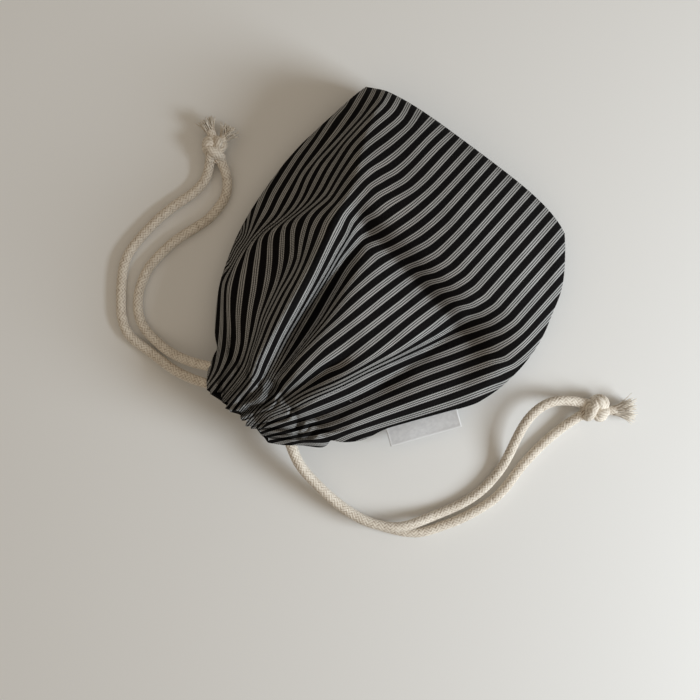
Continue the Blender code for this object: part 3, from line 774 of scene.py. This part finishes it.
def braided_tube(path: np.ndarray, radius: float, sides: int, carriers: int, lay: float) -> tuple:
    """Sweeps a round braid along a line, each strand passing over two and under two.

    Args:
        path: the centre line's points, evenly spaced, in millimetres.
        radius: the braid's radius.
        sides: corners round it.
        carriers: strands in each direction.
        lay: how far a strand goes along while it turns once round.

    Returns:
        The tube's points in millimetres, its faces, and how deep each point lies in the
        grooves, 0 to 1, the share of painted shade that the cord's colour takes there.
    """
    ahead = np.gradient(path, axis=0)
    ahead /= np.linalg.norm(ahead, axis=1)[:, None]
    side = np.cross(ahead[0], (0.0, 0.0, 1.0))
    side /= np.linalg.norm(side)
    sides_at = np.empty_like(path)
    for k, along in enumerate(ahead):
        side = side - along * np.dot(side, along)
        side /= np.linalg.norm(side)
        sides_at[k] = side
    ups = np.cross(ahead, sides_at)
    run = np.concatenate([[0.0], np.cumsum(np.linalg.norm(np.diff(path, axis=0), axis=1))])
    turn = 2 * np.pi * np.arange(sides) / sides
    first = carriers * (turn[None, :] / (2 * np.pi) + run[:, None] / lay)
    second = carriers * (turn[None, :] / (2 * np.pi) - run[:, None] / lay)
    over = np.mod(np.floor(first) - np.floor(second), OVER_AND_UNDER) < OVER_AND_UNDER / 2
    place = np.where(over, np.mod(first, 1.0), np.mod(second, 1.0))
    other = np.where(over, np.mod(second, 1.0), np.mod(first, 1.0))
    crown = np.sqrt(np.clip(1 - (2 * place - 1) ** 2, 0.0, 1.0))
    crown = crown * (CROWN_DIPPED + CROWN_RISE * np.sin(np.pi * other))
    reach = radius * (GROOVE_REACH + CROWN_REACH * crown)
    ring = (
        path[:, None, :]
        + sides_at[:, None, :] * (reach * np.cos(turn))[:, :, None]
        + ups[:, None, :] * (reach * np.sin(turn))[:, :, None]
    )
    rows = len(path)
    index = np.arange(rows * sides).reshape(rows, sides)
    nxt = np.roll(index, -1, axis=1)
    faces = np.stack([index[:-1], nxt[:-1], nxt[1:], index[1:]], axis=-1).reshape(-1, 4).tolist()
    points = np.vstack([ring.reshape(-1, 3), path[:1], path[-1:]])
    start, end = rows * sides, rows * sides + 1
    faces += [[start, int(nxt[0, k]), int(index[0, k])] for k in range(sides)]
    faces += [[end, int(index[-1, k]), int(nxt[-1, k])] for k in range(sides)]
    # Painted shade for the cord's colour: more of it deep in the grooves and where a strand dips under.
    groove_shade = np.concatenate([(1 - crown).ravel(), [CUT_END_SHADE, CUT_END_SHADE]])
    return points, faces, groove_shade


def set_attribute(piece: bpy.types.Object, name: str, values: np.ndarray) -> None:
    """Stores a number at each corner of a piece, for its material."""
    layer = piece.data.attributes.new(name, "FLOAT", "POINT")
    layer.data.foreach_set("value", np.asarray(values, np.float32))


def cotton_piece(name: str, node: str, form: tuple, material: bpy.types.Material) -> bpy.types.Object:
    """Makes a piece of cord cotton in place of one of the model's nodes.

    Args:
        name: the piece's name.
        node: the model's node that it replaces.
        form: its points in millimetres, its faces and each point's share of painted shade.
        material: its finish.

    Returns:
        The new object.
    """
    points, faces, groove_shade = form
    made = new_piece(name, to_frame(points), faces, material)
    set_attribute(made, "groove_shade", groove_shade)
    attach(made, "root")
    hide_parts(node)
    LOG.info("%s: %d faces", made.name, len(faces))
    return made


def joined(parts: list) -> tuple:
    """Puts several parts' points, faces and shares of painted shade in one.

    Args:
        parts: tuples of points, faces and shares of painted shade.

    Returns:
        One such tuple.
    """
    points, faces, grooves, base = [], [], [], 0
    for part_points, part_faces, part_grooves in parts:
        points.append(part_points)
        faces += [[base + k for k in face] for face in part_faces]
        grooves.append(part_grooves)
        base += len(part_points)
    return np.vstack(points), faces, np.concatenate(grooves)


@dataclass
class Drawcord:
    """One free stretch of the braided cord, from the channel to its knot.

    Its whole length is in metres, and its other sizes are in millimetres.
    """

    name: str
    length: float
    into_channel: float = 5.0
    into_knot: float = 5.0
    radius: float = 2.95
    sides: int = 48
    carriers: int = 8
    lay: float = 18.0
    step: float = 0.42
    route_step: float = 2.0
    path_step: float = 4.0

    def centre_line(self) -> np.ndarray:
        """The cord's centre line, run on into the channel and into the knot.

        Returns:
            Its points in millimetres, from the channel to the knot.
        """
        middle = smooth_route(CORD_ROUTES[self.name], self.route_step)
        back = middle[0] - middle[2]
        ahead = middle[-1] - middle[-3]
        first = middle[0] + back / np.linalg.norm(back) * self.into_channel
        last = middle[-1] + ahead / np.linalg.norm(ahead) * self.into_knot
        return evenly(np.vstack([first, middle, last]), self.step)

    def build(self, material: bpy.types.Material, on_it: list) -> bpy.types.Object:
        """Args:
            material: the cord's finish.
            on_it: the pieces on the cord; not used.

        Returns:
            The cord's object.
        """
        path = self.centre_line()
        form = braided_tube(path, self.radius, self.sides, self.carriers, self.lay)
        made = cotton_piece(self.name + "_braid", self.name, form, material)
        return made


@dataclass
class OverhandKnot:
    """The knot that ties both ends of one cord: two looped strands, a wrap and two that enter.

    Sizes are in millimetres in the knot's own space, +X towards the cut ends. A loop has its
    size, how far it is turned in degrees and its lift, and an entry its place in Y and Z.
    """

    name: str
    middle: tuple
    half_size: tuple
    points_deg: float
    strand: float = 2.75
    loop: float = 2.05
    loops: tuple = ((1.0, 0.0, -0.6), (0.78, 38.0, 1.6))
    loop_span: tuple = (0.05, 0.96)
    weave: float = 2.6
    wrap_x: float = -2.6
    wrap_radius: float = 5.0
    wrap_tilt: float = 2.2
    wrap_span: tuple = (-0.25, 1.2)
    entries: tuple = ((-2.6, -0.8), (2.6, 0.6))
    entry_span: tuple = (-8.6, 1.0)
    sides: int = 40
    carriers: int = 8
    lay: float = 17.0
    step: float = 0.42

    def strand_lines(self) -> list:
        """The strands' centre lines.

        Returns:
            A line of points for each strand, in the knot's own millimetres.
        """
        lines = []
        turn = np.linspace(*self.loop_span, 130) * 2 * np.pi
        for size, lead_deg, lift in self.loops:
            loop_x = self.loop * size * (np.cos(turn) - 2 * np.cos(2 * turn))
            loop_y = self.loop * size * (np.sin(turn) + 2 * np.sin(2 * turn))
            lead = math.radians(lead_deg)
            x = loop_x * math.cos(lead) - loop_y * math.sin(lead)
            y = loop_x * math.sin(lead) + loop_y * math.cos(lead)
            lines.append(np.column_stack([x, y, lift - self.weave * np.sin(3 * turn)]))
        over = np.linspace(*self.wrap_span, 60) * np.pi
        x = self.wrap_x + self.wrap_tilt * np.cos(over)
        lines.append(np.column_stack([x, self.wrap_radius * np.cos(over), self.wrap_radius * np.sin(over)]))
        for y, z in self.entries:
            x = np.linspace(*self.entry_span, 30)
            lines.append(np.column_stack([x, y * (0.5 - 0.05 * x), z + 0 * x]))
        return lines

    def build(self, material: bpy.types.Material) -> bpy.types.Object:
        """Makes the knot in place of the model's plain one.

        Args:
            material: the cord's finish.

        Returns:
            The knot's object.
        """
        parts = []
        for line in self.strand_lines():
            path = evenly(line, self.step)
            parts.append(braided_tube(path, self.strand, self.sides, self.carriers, self.lay))
        points, faces, groove_shade = joined(parts)
        reach = np.abs(points).max(axis=0)
        points = points * (np.array(self.half_size) / reach)
        turn = Matrix.Rotation(math.radians(self.points_deg), 3, "Z")
        points = points @ np.array(turn).T + np.array(self.middle)
        return cotton_piece(self.name + "_braid", self.name, (points, faces, groove_shade), material)


@dataclass
class FrayedEnd:
    """The brushed-out yarns of a cut end beyond its knot, in the tuft's own millimetres."""

    name: str
    root: tuple
    points_deg: float
    rises_deg: float
    length: float
    tip_wide: float
    yarns: int
    seed: int
    yarn_rings: int = 7
    yarn_radius: float = 0.56
    yarn_starts: float = -1.5
    cut_half: tuple = (2.3, 2.0)
    tip_flat: float = 0.8
    curl: float = 1.4
    stub_ends: tuple = (-4.0, 1.4)
    stub_radius: float = 2.75
    lowest: float = 0.3

    def yarn(self, draw: np.random.Generator) -> tuple:
        """One yarn: a thin three-sided strand from the cut to its own tip.

        Args:
            draw: the random numbers.

        Returns:
            Its points in the tuft's millimetres, its faces, and each point's share of the cord's dark
            colour: more towards the cut, with a random tone for each yarn.
        """
        place = draw.uniform(-1, 1, 2)
        place = place / max(1.0, np.hypot(*place))
        cut = place * np.array(self.cut_half)
        tip = place * self.tip_wide / 2 * draw.uniform(0.8, 1.15)
        reach = self.length * draw.uniform(0.6, 1.0)
        curl = draw.normal(0.0, self.curl, 2)
        share = np.linspace(0.0, 1.0, self.yarn_rings)
        x = self.yarn_starts + (reach - self.yarn_starts) * share
        y = cut[0] + (tip[0] - cut[0]) * share**1.3 + curl[0] * share**2
        z = cut[1] + (tip[1] * self.tip_flat - cut[1]) * share**1.3 + curl[1] * share**2
        line = np.column_stack([x, y, z])
        thick = self.yarn_radius * (1 - 0.5 * share) * draw.uniform(0.8, 1.15)
        turn = 2 * np.pi * np.arange(3) / 3 + draw.uniform(0, 2)
        ring = line[:, None, :] + thick[:, None, None] * np.stack(
            [np.zeros(3), np.cos(turn), np.sin(turn)], axis=-1
        )
        points = ring.reshape(-1, 3)
        faces = []
        for row in range(self.yarn_rings - 1):
            for k in range(3):
                a, b = 3 * row + k, 3 * row + (k + 1) % 3
                faces.append([a, b, b + 3, a + 3])
        last = len(points) - 3
        faces += [[0, 2, 1], [last, last + 1, last + 2]]
        # The yarn's share of the cord's dark colour: more towards the cut, and a random tone for each yarn.
        shade = draw.uniform(0.0, 0.2)
        return points, faces, np.repeat(0.35 * (1 - share) + shade, 3)

    def build(self, material: bpy.types.Material) -> bpy.types.Object:
        """Makes the tuft: a short stub of cord with its yarns fused into it.

        Args:
            material: the cord's finish.

        Returns:
            The tuft's object.
        """
        draw = np.random.default_rng(self.seed)
        stub = evenly(np.array([[x, 0.0, 0.0] for x in self.stub_ends]), 0.5)
        parts = [braided_tube(stub, self.stub_radius, 24, 8, 18.0)]
        parts += [self.yarn(draw) for _ in range(self.yarns)]
        points, faces, groove_shade = joined(parts)
        rises = Matrix.Rotation(-math.radians(self.rises_deg), 3, "Y")
        turn = Matrix.Rotation(math.radians(self.points_deg), 3, "Z") @ rises
        points = points @ np.array(turn).T + np.array(self.root)
        points[:, 2] = np.maximum(points[:, 2], self.lowest)
        return cotton_piece(self.name + "_yarns", self.name, (points, faces, groove_shade), material)


class Sheet(Enum):
    """Which of the pouch's two sheets."""

    UPPER = 1
    LOWER = 2


@dataclass
class PouchCloth:
    """The pouch's cloth: two sheets joined at the bottom fold and the side seams.

    Sizes are in millimetres. The tunnel is the way through the drawn mouth. On the under
    sheet one stripe's number is given with the x where it lies, and for the part that draws
    in the number at the left seam and how many there are between the seams.
    """

    across: int = 170
    along: int = 190
    inner_along: int = 72
    inner_starts: float = 0.22
    row_ease: tuple = (0.82, 0.18)
    column_ease: tuple = (0.7, 0.3)
    top_places: tuple = (0.42, 0.74)
    top_shares: tuple = (0.62, 0.38)
    fold_points: int = 33
    fold_power: float = 1.8
    roll_power: float = 2.4
    under_gathers: float = 0.5
    frills: float = 9.5
    frill: float = 1.9
    frill_starts: float = 54.0
    frill_full: float = 69.0
    side_roll: float = 15.0
    end_roll: float = 17.0
    under_roll: float = 17.0
    wall: float = 2.0
    tunnel_x: float = -20.0
    tunnel_z: float = 25.5
    tunnel_half_width: float = 8.5
    tunnel_half_height: float = 5.0
    tunnel_starts_at_y: float = -14.0
    tunnel_narrow_at_y: float = -38.0
    tunnel_cover: float = 12.0
    guide_gap: float = 0.02
    narrowest_gap: float = 0.3
    under_straight_y: float = 60.0
    under_stripe: tuple = (14, 3.0)
    under_drawn: tuple = (-0.2, 24.6)

    def rolled(self, inward: np.ndarray, radius: float) -> np.ndarray:
        """How far a sheet has risen, 0 to 1, at a distance in from the edge it rolls over."""
        t = np.clip(inward / radius, 0.0, 1.0)
        return np.sqrt(np.clip(1 - (1 - t) ** self.roll_power, 0.0, 1.0))

    def fold_height(self, fold: Fold, x: np.ndarray, y: np.ndarray) -> np.ndarray:
        """The rise of one fold over places in plan.

        Args:
            fold: the fold's row.
            x: places across.
            y: places along.

        Returns:
            The rise at each place, in millimetres.
        """
        knots = np.array([fold.start, fold.middle, fold.end], float)
        at = np.linspace(0.0, 2.0, self.fold_points)
        path = np.column_stack([eased((0, 1, 2), knots[:, axis], at) for axis in range(2)])
        rise = eased((0, 1, 2), (fold.height_1, fold.height_2, fold.height_3), at)
        ahead = np.gradient(path, axis=0)
        ahead /= np.linalg.norm(ahead, axis=1)[:, None]
        away_x = x[..., None] - path[:, 0]
        away_y = y[..., None] - path[:, 1]
        nearest = np.argmin(away_x**2 + away_y**2, axis=-1)
        away_x = np.take_along_axis(away_x, nearest[..., None], -1)[..., 0]
        away_y = np.take_along_axis(away_y, nearest[..., None], -1)[..., 0]
        away = np.hypot(away_x, away_y)
        leftward = (ahead[nearest, 0] * away_y - ahead[nearest, 1] * away_x) / np.maximum(away, TINY)
        wide = (fold.left_wide * (1 + leftward) + fold.right_wide * (1 - leftward)) / 2
        return rise[nearest] * np.exp(-((away / wide) ** self.fold_power))

    def gathered(self, across: np.ndarray, y: np.ndarray) -> np.ndarray:
        """The rise of the gathers towards the mouth.

        Args:
            across: places across the mouth, 0 left and 1 right.
            y: places along.

        Returns:
            The rise at each place, in millimetres.
        """
        total = np.zeros_like(across)
        for gather in GATHERS:
            total += gather.height * np.exp(-(((across - gather.across) / gather.wide) ** 2))
        pleats = np.zeros_like(across)
        for pleat in PLEATS:
            pleats += pleat.height * np.exp(-np.abs(across - pleat.across) / pleat.wide)
        crests = total * ramp(-y, -GATHER_STARTS_AT_Y, -GATHER_FULL_AT_Y)
        return crests - pleats * ramp(-y, -PLEATS_START_AT_Y, -PLEATS_FULL_AT_Y)

    def frilled(self, across: np.ndarray, y: np.ndarray) -> np.ndarray:
        """How far the mouth's edge stands in or out along Y.

        Args:
            across: places across the mouth, 0 left and 1 right.
            y: places along.

        Returns:
            The distance at each place, in millimetres.
        """
        # A quick wave of uneven pace and a slow one, so that no two frills are alike.
        wave = np.cos(2 * np.pi * (self.frills * across + 0.3 * np.sin(6 * np.pi * across)))
        slow = np.sin(2 * np.pi * 3.3 * across + 0.8)
        return self.frill * (0.7 * wave + 0.5 * slow) * ramp(-y, self.frill_starts, self.frill_full)

    def grid(self, along: int, inset: float) -> dict:
        """Lays the grid of one face of the pouch in plan.

        Args:
            along: rows of the grid.
            inset: how far inside the outer face it lies.

        Returns:
            Arrays by name: x, y, across, the sections' columns, and both rolls.
        """
        rows = np.arange(len(SECTIONS), dtype=float)
        first = 0.0 if inset == 0 else self.inner_starts
        # The rows lie closer at the bottom edge, and the columns at both seams.
        share = np.linspace(0.0, 1.0, along + 1)
        reading = first + (rows[-1] - first) * (self.row_ease[0] * share + self.row_ease[1] * share**2)
        made = {
            name: eased(rows, [getattr(row, name) for row in SECTIONS], reading)[:, None]
            for name in Section._fields
        }
        spread = np.linspace(0.0, 1.0, self.across + 1)[None, :]
        even, closer = self.column_ease
        spread = even * spread + closer * (1 - np.cos(np.pi * spread)) / 2
        made["across"] = np.broadcast_to(spread, (along + 1, self.across + 1)).copy()
        left = made["left_x"] + inset
        right = made["right_x"] - inset
        for bulge in BULGES:
            seam_y = made["right_y"] if bulge.side > 0 else made["left_y"]
            out = bulge.side * bulge.out * np.exp(-(((seam_y - bulge.y) / bulge.wide) ** 2))
            left = left + out * (bulge.side < 0)
            right = right + out * (bulge.side > 0)
        made["x"] = left + (right - left) * spread
        straight = made["left_y"] + (made["right_y"] - made["left_y"]) * spread
        made["y"] = straight + made["bow"] * (1 - (2 * spread - 1) ** 4)
        if inset == 0:
            made["y"] = made["y"] - self.frilled(made["across"], made["y"])
        from_side = np.minimum(made["x"] - left, right - made["x"])
        from_end = np.maximum(made["y"][0][None, :] - made["y"], 0.0)
        made["over"] = self.rolled(from_side, self.side_roll) * self.rolled(from_end, self.end_roll)
        made["under"] = self.rolled(from_side, self.under_roll) * self.rolled(from_end, self.under_roll)
        return made

    def profile(self, grid: dict) -> np.ndarray:
        """Heights of the upper sheet before its folds and before it rolls over.

        Args:
            grid: the grid in plan.

        Returns:
            The heights, in millimetres.
        """
        high = np.empty_like(grid["x"])
        for row in range(len(high)):
            at = {name: float(grid[name][row, 0]) for name in Section._fields}
            right = at["right_x"]
            reach = right - at["ridge_x"]
            places = (
                at["left_x"],
                (at["left_x"] + at["ridge_x"]) / 2,
                at["ridge_x"],
                at["ridge_x"] + reach * self.top_places[0],
                at["ridge_x"] + reach * self.top_places[1],
                right,
            )
            heights = (
                at["left_z"],
                at["flank_z"],
                at["ridge_z"],
                at["middle_z"],
                at["middle_z"] * self.top_shares[0] + at["right_z"] * self.top_shares[1],
                at["right_z"],
            )
            high[row] = eased(places, heights, grid["x"][row])
        return high

    def heights(self, grid: dict, sheet: Sheet, inset: float) -> np.ndarray:
        """Heights of one sheet over its grid.

        Args:
            grid: the grid in plan.
            sheet: which sheet.
            inset: how far inside the outer face it lies.

        Returns:
            The heights, in millimetres.
        """
        seam = np.broadcast_to(grid["seam_z"], grid["x"].shape)
        if sheet is Sheet.UPPER:
            high = self.profile(grid)
            for fold in (*FOLDS.values(), *CREASES.values()):
                high = high + self.fold_height(fold, grid["x"], grid["y"])
            if inset == 0:
                high = high + self.gathered(grid["across"], grid["y"])
                above = np.exp(-(((grid["x"] - self.tunnel_x) / self.tunnel_cover) ** 4))
                above = above * ramp(-grid["y"], -self.tunnel_starts_at_y, -self.tunnel_narrow_at_y)
                roof = self.tunnel_z + self.tunnel_half_height + self.wall
                high = np.maximum(high, roof * above)
            return seam + (high - inset - seam) * grid["over"]
        low = grid["under_z"] + inset
        if inset == 0:
            low = low - self.under_gathers * self.gathered(1 - grid["across"], grid["y"])
        return np.maximum(seam + (low - seam) * grid["under"], inset)

    def ceiling(self, grid: dict, x: np.ndarray) -> np.ndarray:
        """How high the inner face may reach where it draws in to the way through the mouth.

        Args:
            grid: the inner face's grid in plan.
            x: where across each of its places has moved to.

        Returns:
            Heights a wall under the outer face there, in millimetres.
        """
        left, right = grid["left_x"], grid["right_x"]
        over = self.rolled(np.minimum(x - left, right - x), self.side_roll)
        moved = dict(grid, x=x, across=(x - left) / (right - left), over=over)
        return self.heights(moved, Sheet.UPPER, 0.0) - self.wall

    def stripe_numbers(self, x: np.ndarray, y: np.ndarray, z: np.ndarray) -> np.ndarray:
        """Which stripe, and how far into it, each place of the upper sheet shows.

        Args:
            x: places across.
            y: places along.
            z: heights.

        Returns:
            The stripe's number, whole at the middle of its light band.
        """
        seen = CAMERA_HEIGHT / (CAMERA_HEIGHT - z)
        seen_x, seen_y = (x * seen).ravel(), (y * seen).ravel()
        guides = []
        for number, places in STRIPE_GUIDES.items():
            places = np.array(places, float)[::-1]
            if number > SHARP_STRIPES:
                follow = eased(places[:, 1], places[:, 0], seen_y)
            else:
                follow = sum(
                    part * np.interp(seen_y + shift, places[:, 1], places[:, 0])
                    for shift, part in ROUNDED_TURN
                )
            guides.append(follow)
        # No stripe crosses the one on its left.
        spaced = np.stack(guides, axis=1) + self.guide_gap * np.arange(len(guides))
        guides = np.maximum.accumulate(spaced, axis=1)
        numbers = np.array(list(STRIPE_GUIDES), float)
        cell = np.clip((guides <= seen_x[:, None]).sum(axis=1) - 1, 0, len(numbers) - 2)
        pick = np.arange(len(seen_x))
        low, high = guides[pick, cell], guides[pick, cell + 1]
        share = (seen_x - low) / np.maximum(high - low, self.narrowest_gap)
        return (numbers[cell] + (numbers[cell + 1] - numbers[cell]) * share).reshape(x.shape)

    def weave_map(self, grid: dict, z: np.ndarray, sheet: Sheet) -> np.ndarray:
        """The weave's own coordinates over one sheet, in stripe repeats.

        Args:
            grid: the grid in plan.
            z: the sheet's heights.
            sheet: which sheet.

        Returns:
            Rows of across and along for each corner.
        """
        x, y = grid["x"], grid["y"]
        if sheet is Sheet.UPPER:
            numbers = self.stripe_numbers(x, y, z)
        else:
            straight = self.under_stripe[0] + (x - self.under_stripe[1]) / STRIPE_REPEAT
            drawn = self.under_drawn[0] + self.under_drawn[1] * grid["across"]
            numbers = np.where(y > self.under_straight_y, straight, drawn)
        step = np.sqrt(np.diff(x, axis=0) ** 2 + np.diff(y, axis=0) ** 2 + np.diff(z, axis=0) ** 2)
        run = np.concatenate([np.zeros((1, x.shape[1])), np.cumsum(step, axis=0)])
        if sheet is Sheet.LOWER:
            run = -run
        return np.stack([numbers, run / STRIPE_REPEAT], axis=-1)

    def build(self, material: bpy.types.Material) -> bpy.types.Object:
        """Makes the cloth, with its inner face and the way in through its mouth.

        Args:
            material: the cloth's finish.

        Returns:
            The cloth's object.
        """
        outer = self.grid(self.along, 0.0)
        inner = self.grid(self.inner_along, self.wall)
        share = ramp(-inner["y"], -self.tunnel_starts_at_y, -self.tunnel_narrow_at_y)
        turn = np.pi * (1 - inner["across"])
        lift = self.tunnel_half_height * np.sin(turn)
        inner_x = inner["x"] * (1 - share) + (self.tunnel_x + self.tunnel_half_width * np.cos(turn)) * share
        points, faces, corners, rings, base = [], [], [], [], 0
        for grid, inset in ((outer, 0.0), (inner, self.wall)):
            rows, columns = grid["x"].shape
            index = base + np.arange(rows * columns).reshape(rows, columns)
            below = index.copy()
            open_part = (slice(1, None), slice(1, -1))
            count = (rows - 1) * (columns - 2)
            below[open_part] = base + rows * columns + np.arange(count).reshape(rows - 1, columns - 2)
            x = grid["x"] if inset == 0 else inner_x
            for sheet, numbers in ((Sheet.UPPER, index), (Sheet.LOWER, below)):
                z = self.heights(grid, sheet, inset)
                weave = self.weave_map(grid, z, sheet)
                if inset:
                    side = 1.0 if sheet is Sheet.UPPER else -1.0
                    z = z * (1 - share) + (self.tunnel_z + side * lift) * share
                    if sheet is Sheet.UPPER:
                        z = np.where(share > 0, np.minimum(z, self.ceiling(inner, inner_x)), z)
                place = np.stack([x, grid["y"], z], axis=-1)
                points.append((place if sheet is Sheet.UPPER else place[open_part]).reshape(-1, 3))
                quads = [numbers[:-1, :-1], numbers[1:, :-1], numbers[1:, 1:], numbers[:-1, 1:]]
                maps = [weave[:-1, :-1], weave[1:, :-1], weave[1:, 1:], weave[:-1, 1:]]
                if (sheet is Sheet.UPPER) != (inset == 0):
                    quads, maps = quads[::-1], maps[::-1]
                faces.append(np.stack(quads, axis=-1).reshape(-1, 4))
                corners.append(np.stack(maps, axis=-2).reshape(-1, 4, 2))
            rings.append(np.concatenate([index[-1], below[-1][-2:0:-1]]))
            base += rows * columns + count
        first, second = rings
        closing = np.stack([first, np.roll(first, -1), np.roll(second, -1), second], axis=-1)
        faces.append(closing)
        corners.append(np.full((len(closing), 4, 2), BETWEEN_STRIPES))
        made = new_piece("pouch_striped", to_frame(np.vstack(points)), np.vstack(faces).tolist(), material)
        layer = made.data.uv_layers.new(name="weave")
        layer.data.foreach_set("uv", np.concatenate([c.reshape(-1) for c in corners]).astype(np.float32))
        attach(made, "root")
        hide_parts("pouch_cloth")
        LOG.info("%s: %d faces", made.name, len(made.data.polygons))
        return made


@dataclass
class SideLabel:
    """The bare satin label, a folded loop of ribbon sewn into the right side seam.

    Sizes are in millimetres. It billows a little, its rim stands up and its far edge droops.
    """

    sewn_edge: tuple = ((46.0, -20.6), (69.6, 16.0))
    wide: float = 11.5
    height: float = 11.0
    thick: float = 0.9
    cells: tuple = (60, 16)
    border: float = 0.9
    billow: float = 0.35
    billow_long: float = 6.5
    rim: float = 0.18
    droop: float = 0.8

    def build(self, material: bpy.types.Material) -> bpy.types.Object:
        """Makes the label.

        Args:
            material: the label's finish.

        Returns:
            The label's object.
        """
        start, end = (np.array(p, float) for p in self.sewn_edge)
        along = (end - start) / np.linalg.norm(end - start)
        outward = np.array([along[1], -along[0]])
        long = float(np.linalg.norm(end - start))
        bpy.ops.object.select_all(action="DESELECT")
        bpy.ops.mesh.primitive_grid_add(
            x_subdivisions=self.cells[0], y_subdivisions=self.cells[1], size=1.0, location=(0, 0, 0)
        )
        made = bpy.context.active_object
        made.name = "side_label_satin"
        mesh = made.data
        mesh.uv_layers.active.name = "weave"
        places = np.empty(len(mesh.vertices) * 3)
        mesh.vertices.foreach_get("co", places)
        places = places.reshape(-1, 3)
        a = (places[:, 0] + 0.5) * long
        b = (places[:, 1] + 0.5) * self.wide
        from_edge = np.minimum(np.minimum(a, long - a), self.wide - b)
        border = 1 - ramp(from_edge, self.border * 0.5, self.border * 1.2)
        billow = self.billow * np.sin(a / self.billow_long + 0.6) * ramp(b, 0.0, self.wide)
        z = self.height + billow + self.rim * border
        z = z - self.droop * ramp(b, self.wide * 0.3, self.wide * 1.1)
        plan = start + along * a[:, None] + outward * b[:, None]
        mesh.vertices.foreach_set("co", to_frame(np.column_stack([plan, z])).ravel())
        layer = mesh.uv_layers.active
        corner = np.empty(len(mesh.loops), dtype=np.int64)
        mesh.loops.foreach_get("vertex_index", corner)
        layer.data.foreach_set("uv", np.column_stack([a, b])[corner].astype(np.float32).ravel())
        set_attribute(made, "border", border)
        mesh.materials.append(material)
        mesh.shade_smooth()
        thicken = made.modifiers.new("thickness", "SOLIDIFY")
        thicken.thickness = self.thick * MM
        thicken.offset = 0.0
        bpy.ops.object.modifier_apply(modifier=thicken.name)
        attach(made, "root")
        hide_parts("side_label")
        LOG.info("%s: %d faces", made.name, len(mesh.polygons))
        return made


def main() -> None:
    """Builds the studio, the cords, the cloth and the label, in that order."""
    logging.basicConfig(level=logging.INFO, format="%(name)s %(message)s")
    bpy.ops.object.select_all(action="DESELECT")
    Studio().build()
    ecru = EcruCotton().material()
    left_knot = OverhandKnot("left_knot", (-139.4, 36.5, 7.4), (9.0, 7.8, 7.2), 127.0).build(ecru)
    right_knot = OverhandKnot("right_knot", (132.2, 70.6, 7.8), (9.6, 8.2, 7.6), 44.0).build(ecru)
    left_upper = FrayedEnd("left_fray_upper", (-146.9, 42.2, 8.0), 158.0, 8.0, 9.0, 10.0, 75, 3).build(ecru)
    left_lower = FrayedEnd("left_fray_lower", (-138.8, 44.6, 8.0), 96.0, 8.0, 9.0, 11.0, 75, 5).build(ecru)
    right_fray = FrayedEnd("right_fray", (141.0, 76.6, 8.0), 44.0, 0.0, 13.0, 15.0, 140, 7).build(ecru)
    Drawcord("left_cord_outer", 0.197).build(ecru, [left_knot, left_upper, left_lower])
    Drawcord("left_cord_inner", 0.186).build(ecru, [left_knot])
    Drawcord("right_cord_upper", 0.237).build(ecru, [right_knot, right_fray])
    Drawcord("right_cord_lower", 0.232).build(ecru, [right_knot])
    PouchCloth().build(StripedCotton().material())
    SideLabel().build(GreySatin().material())


if __name__ == "__main__":
    main()
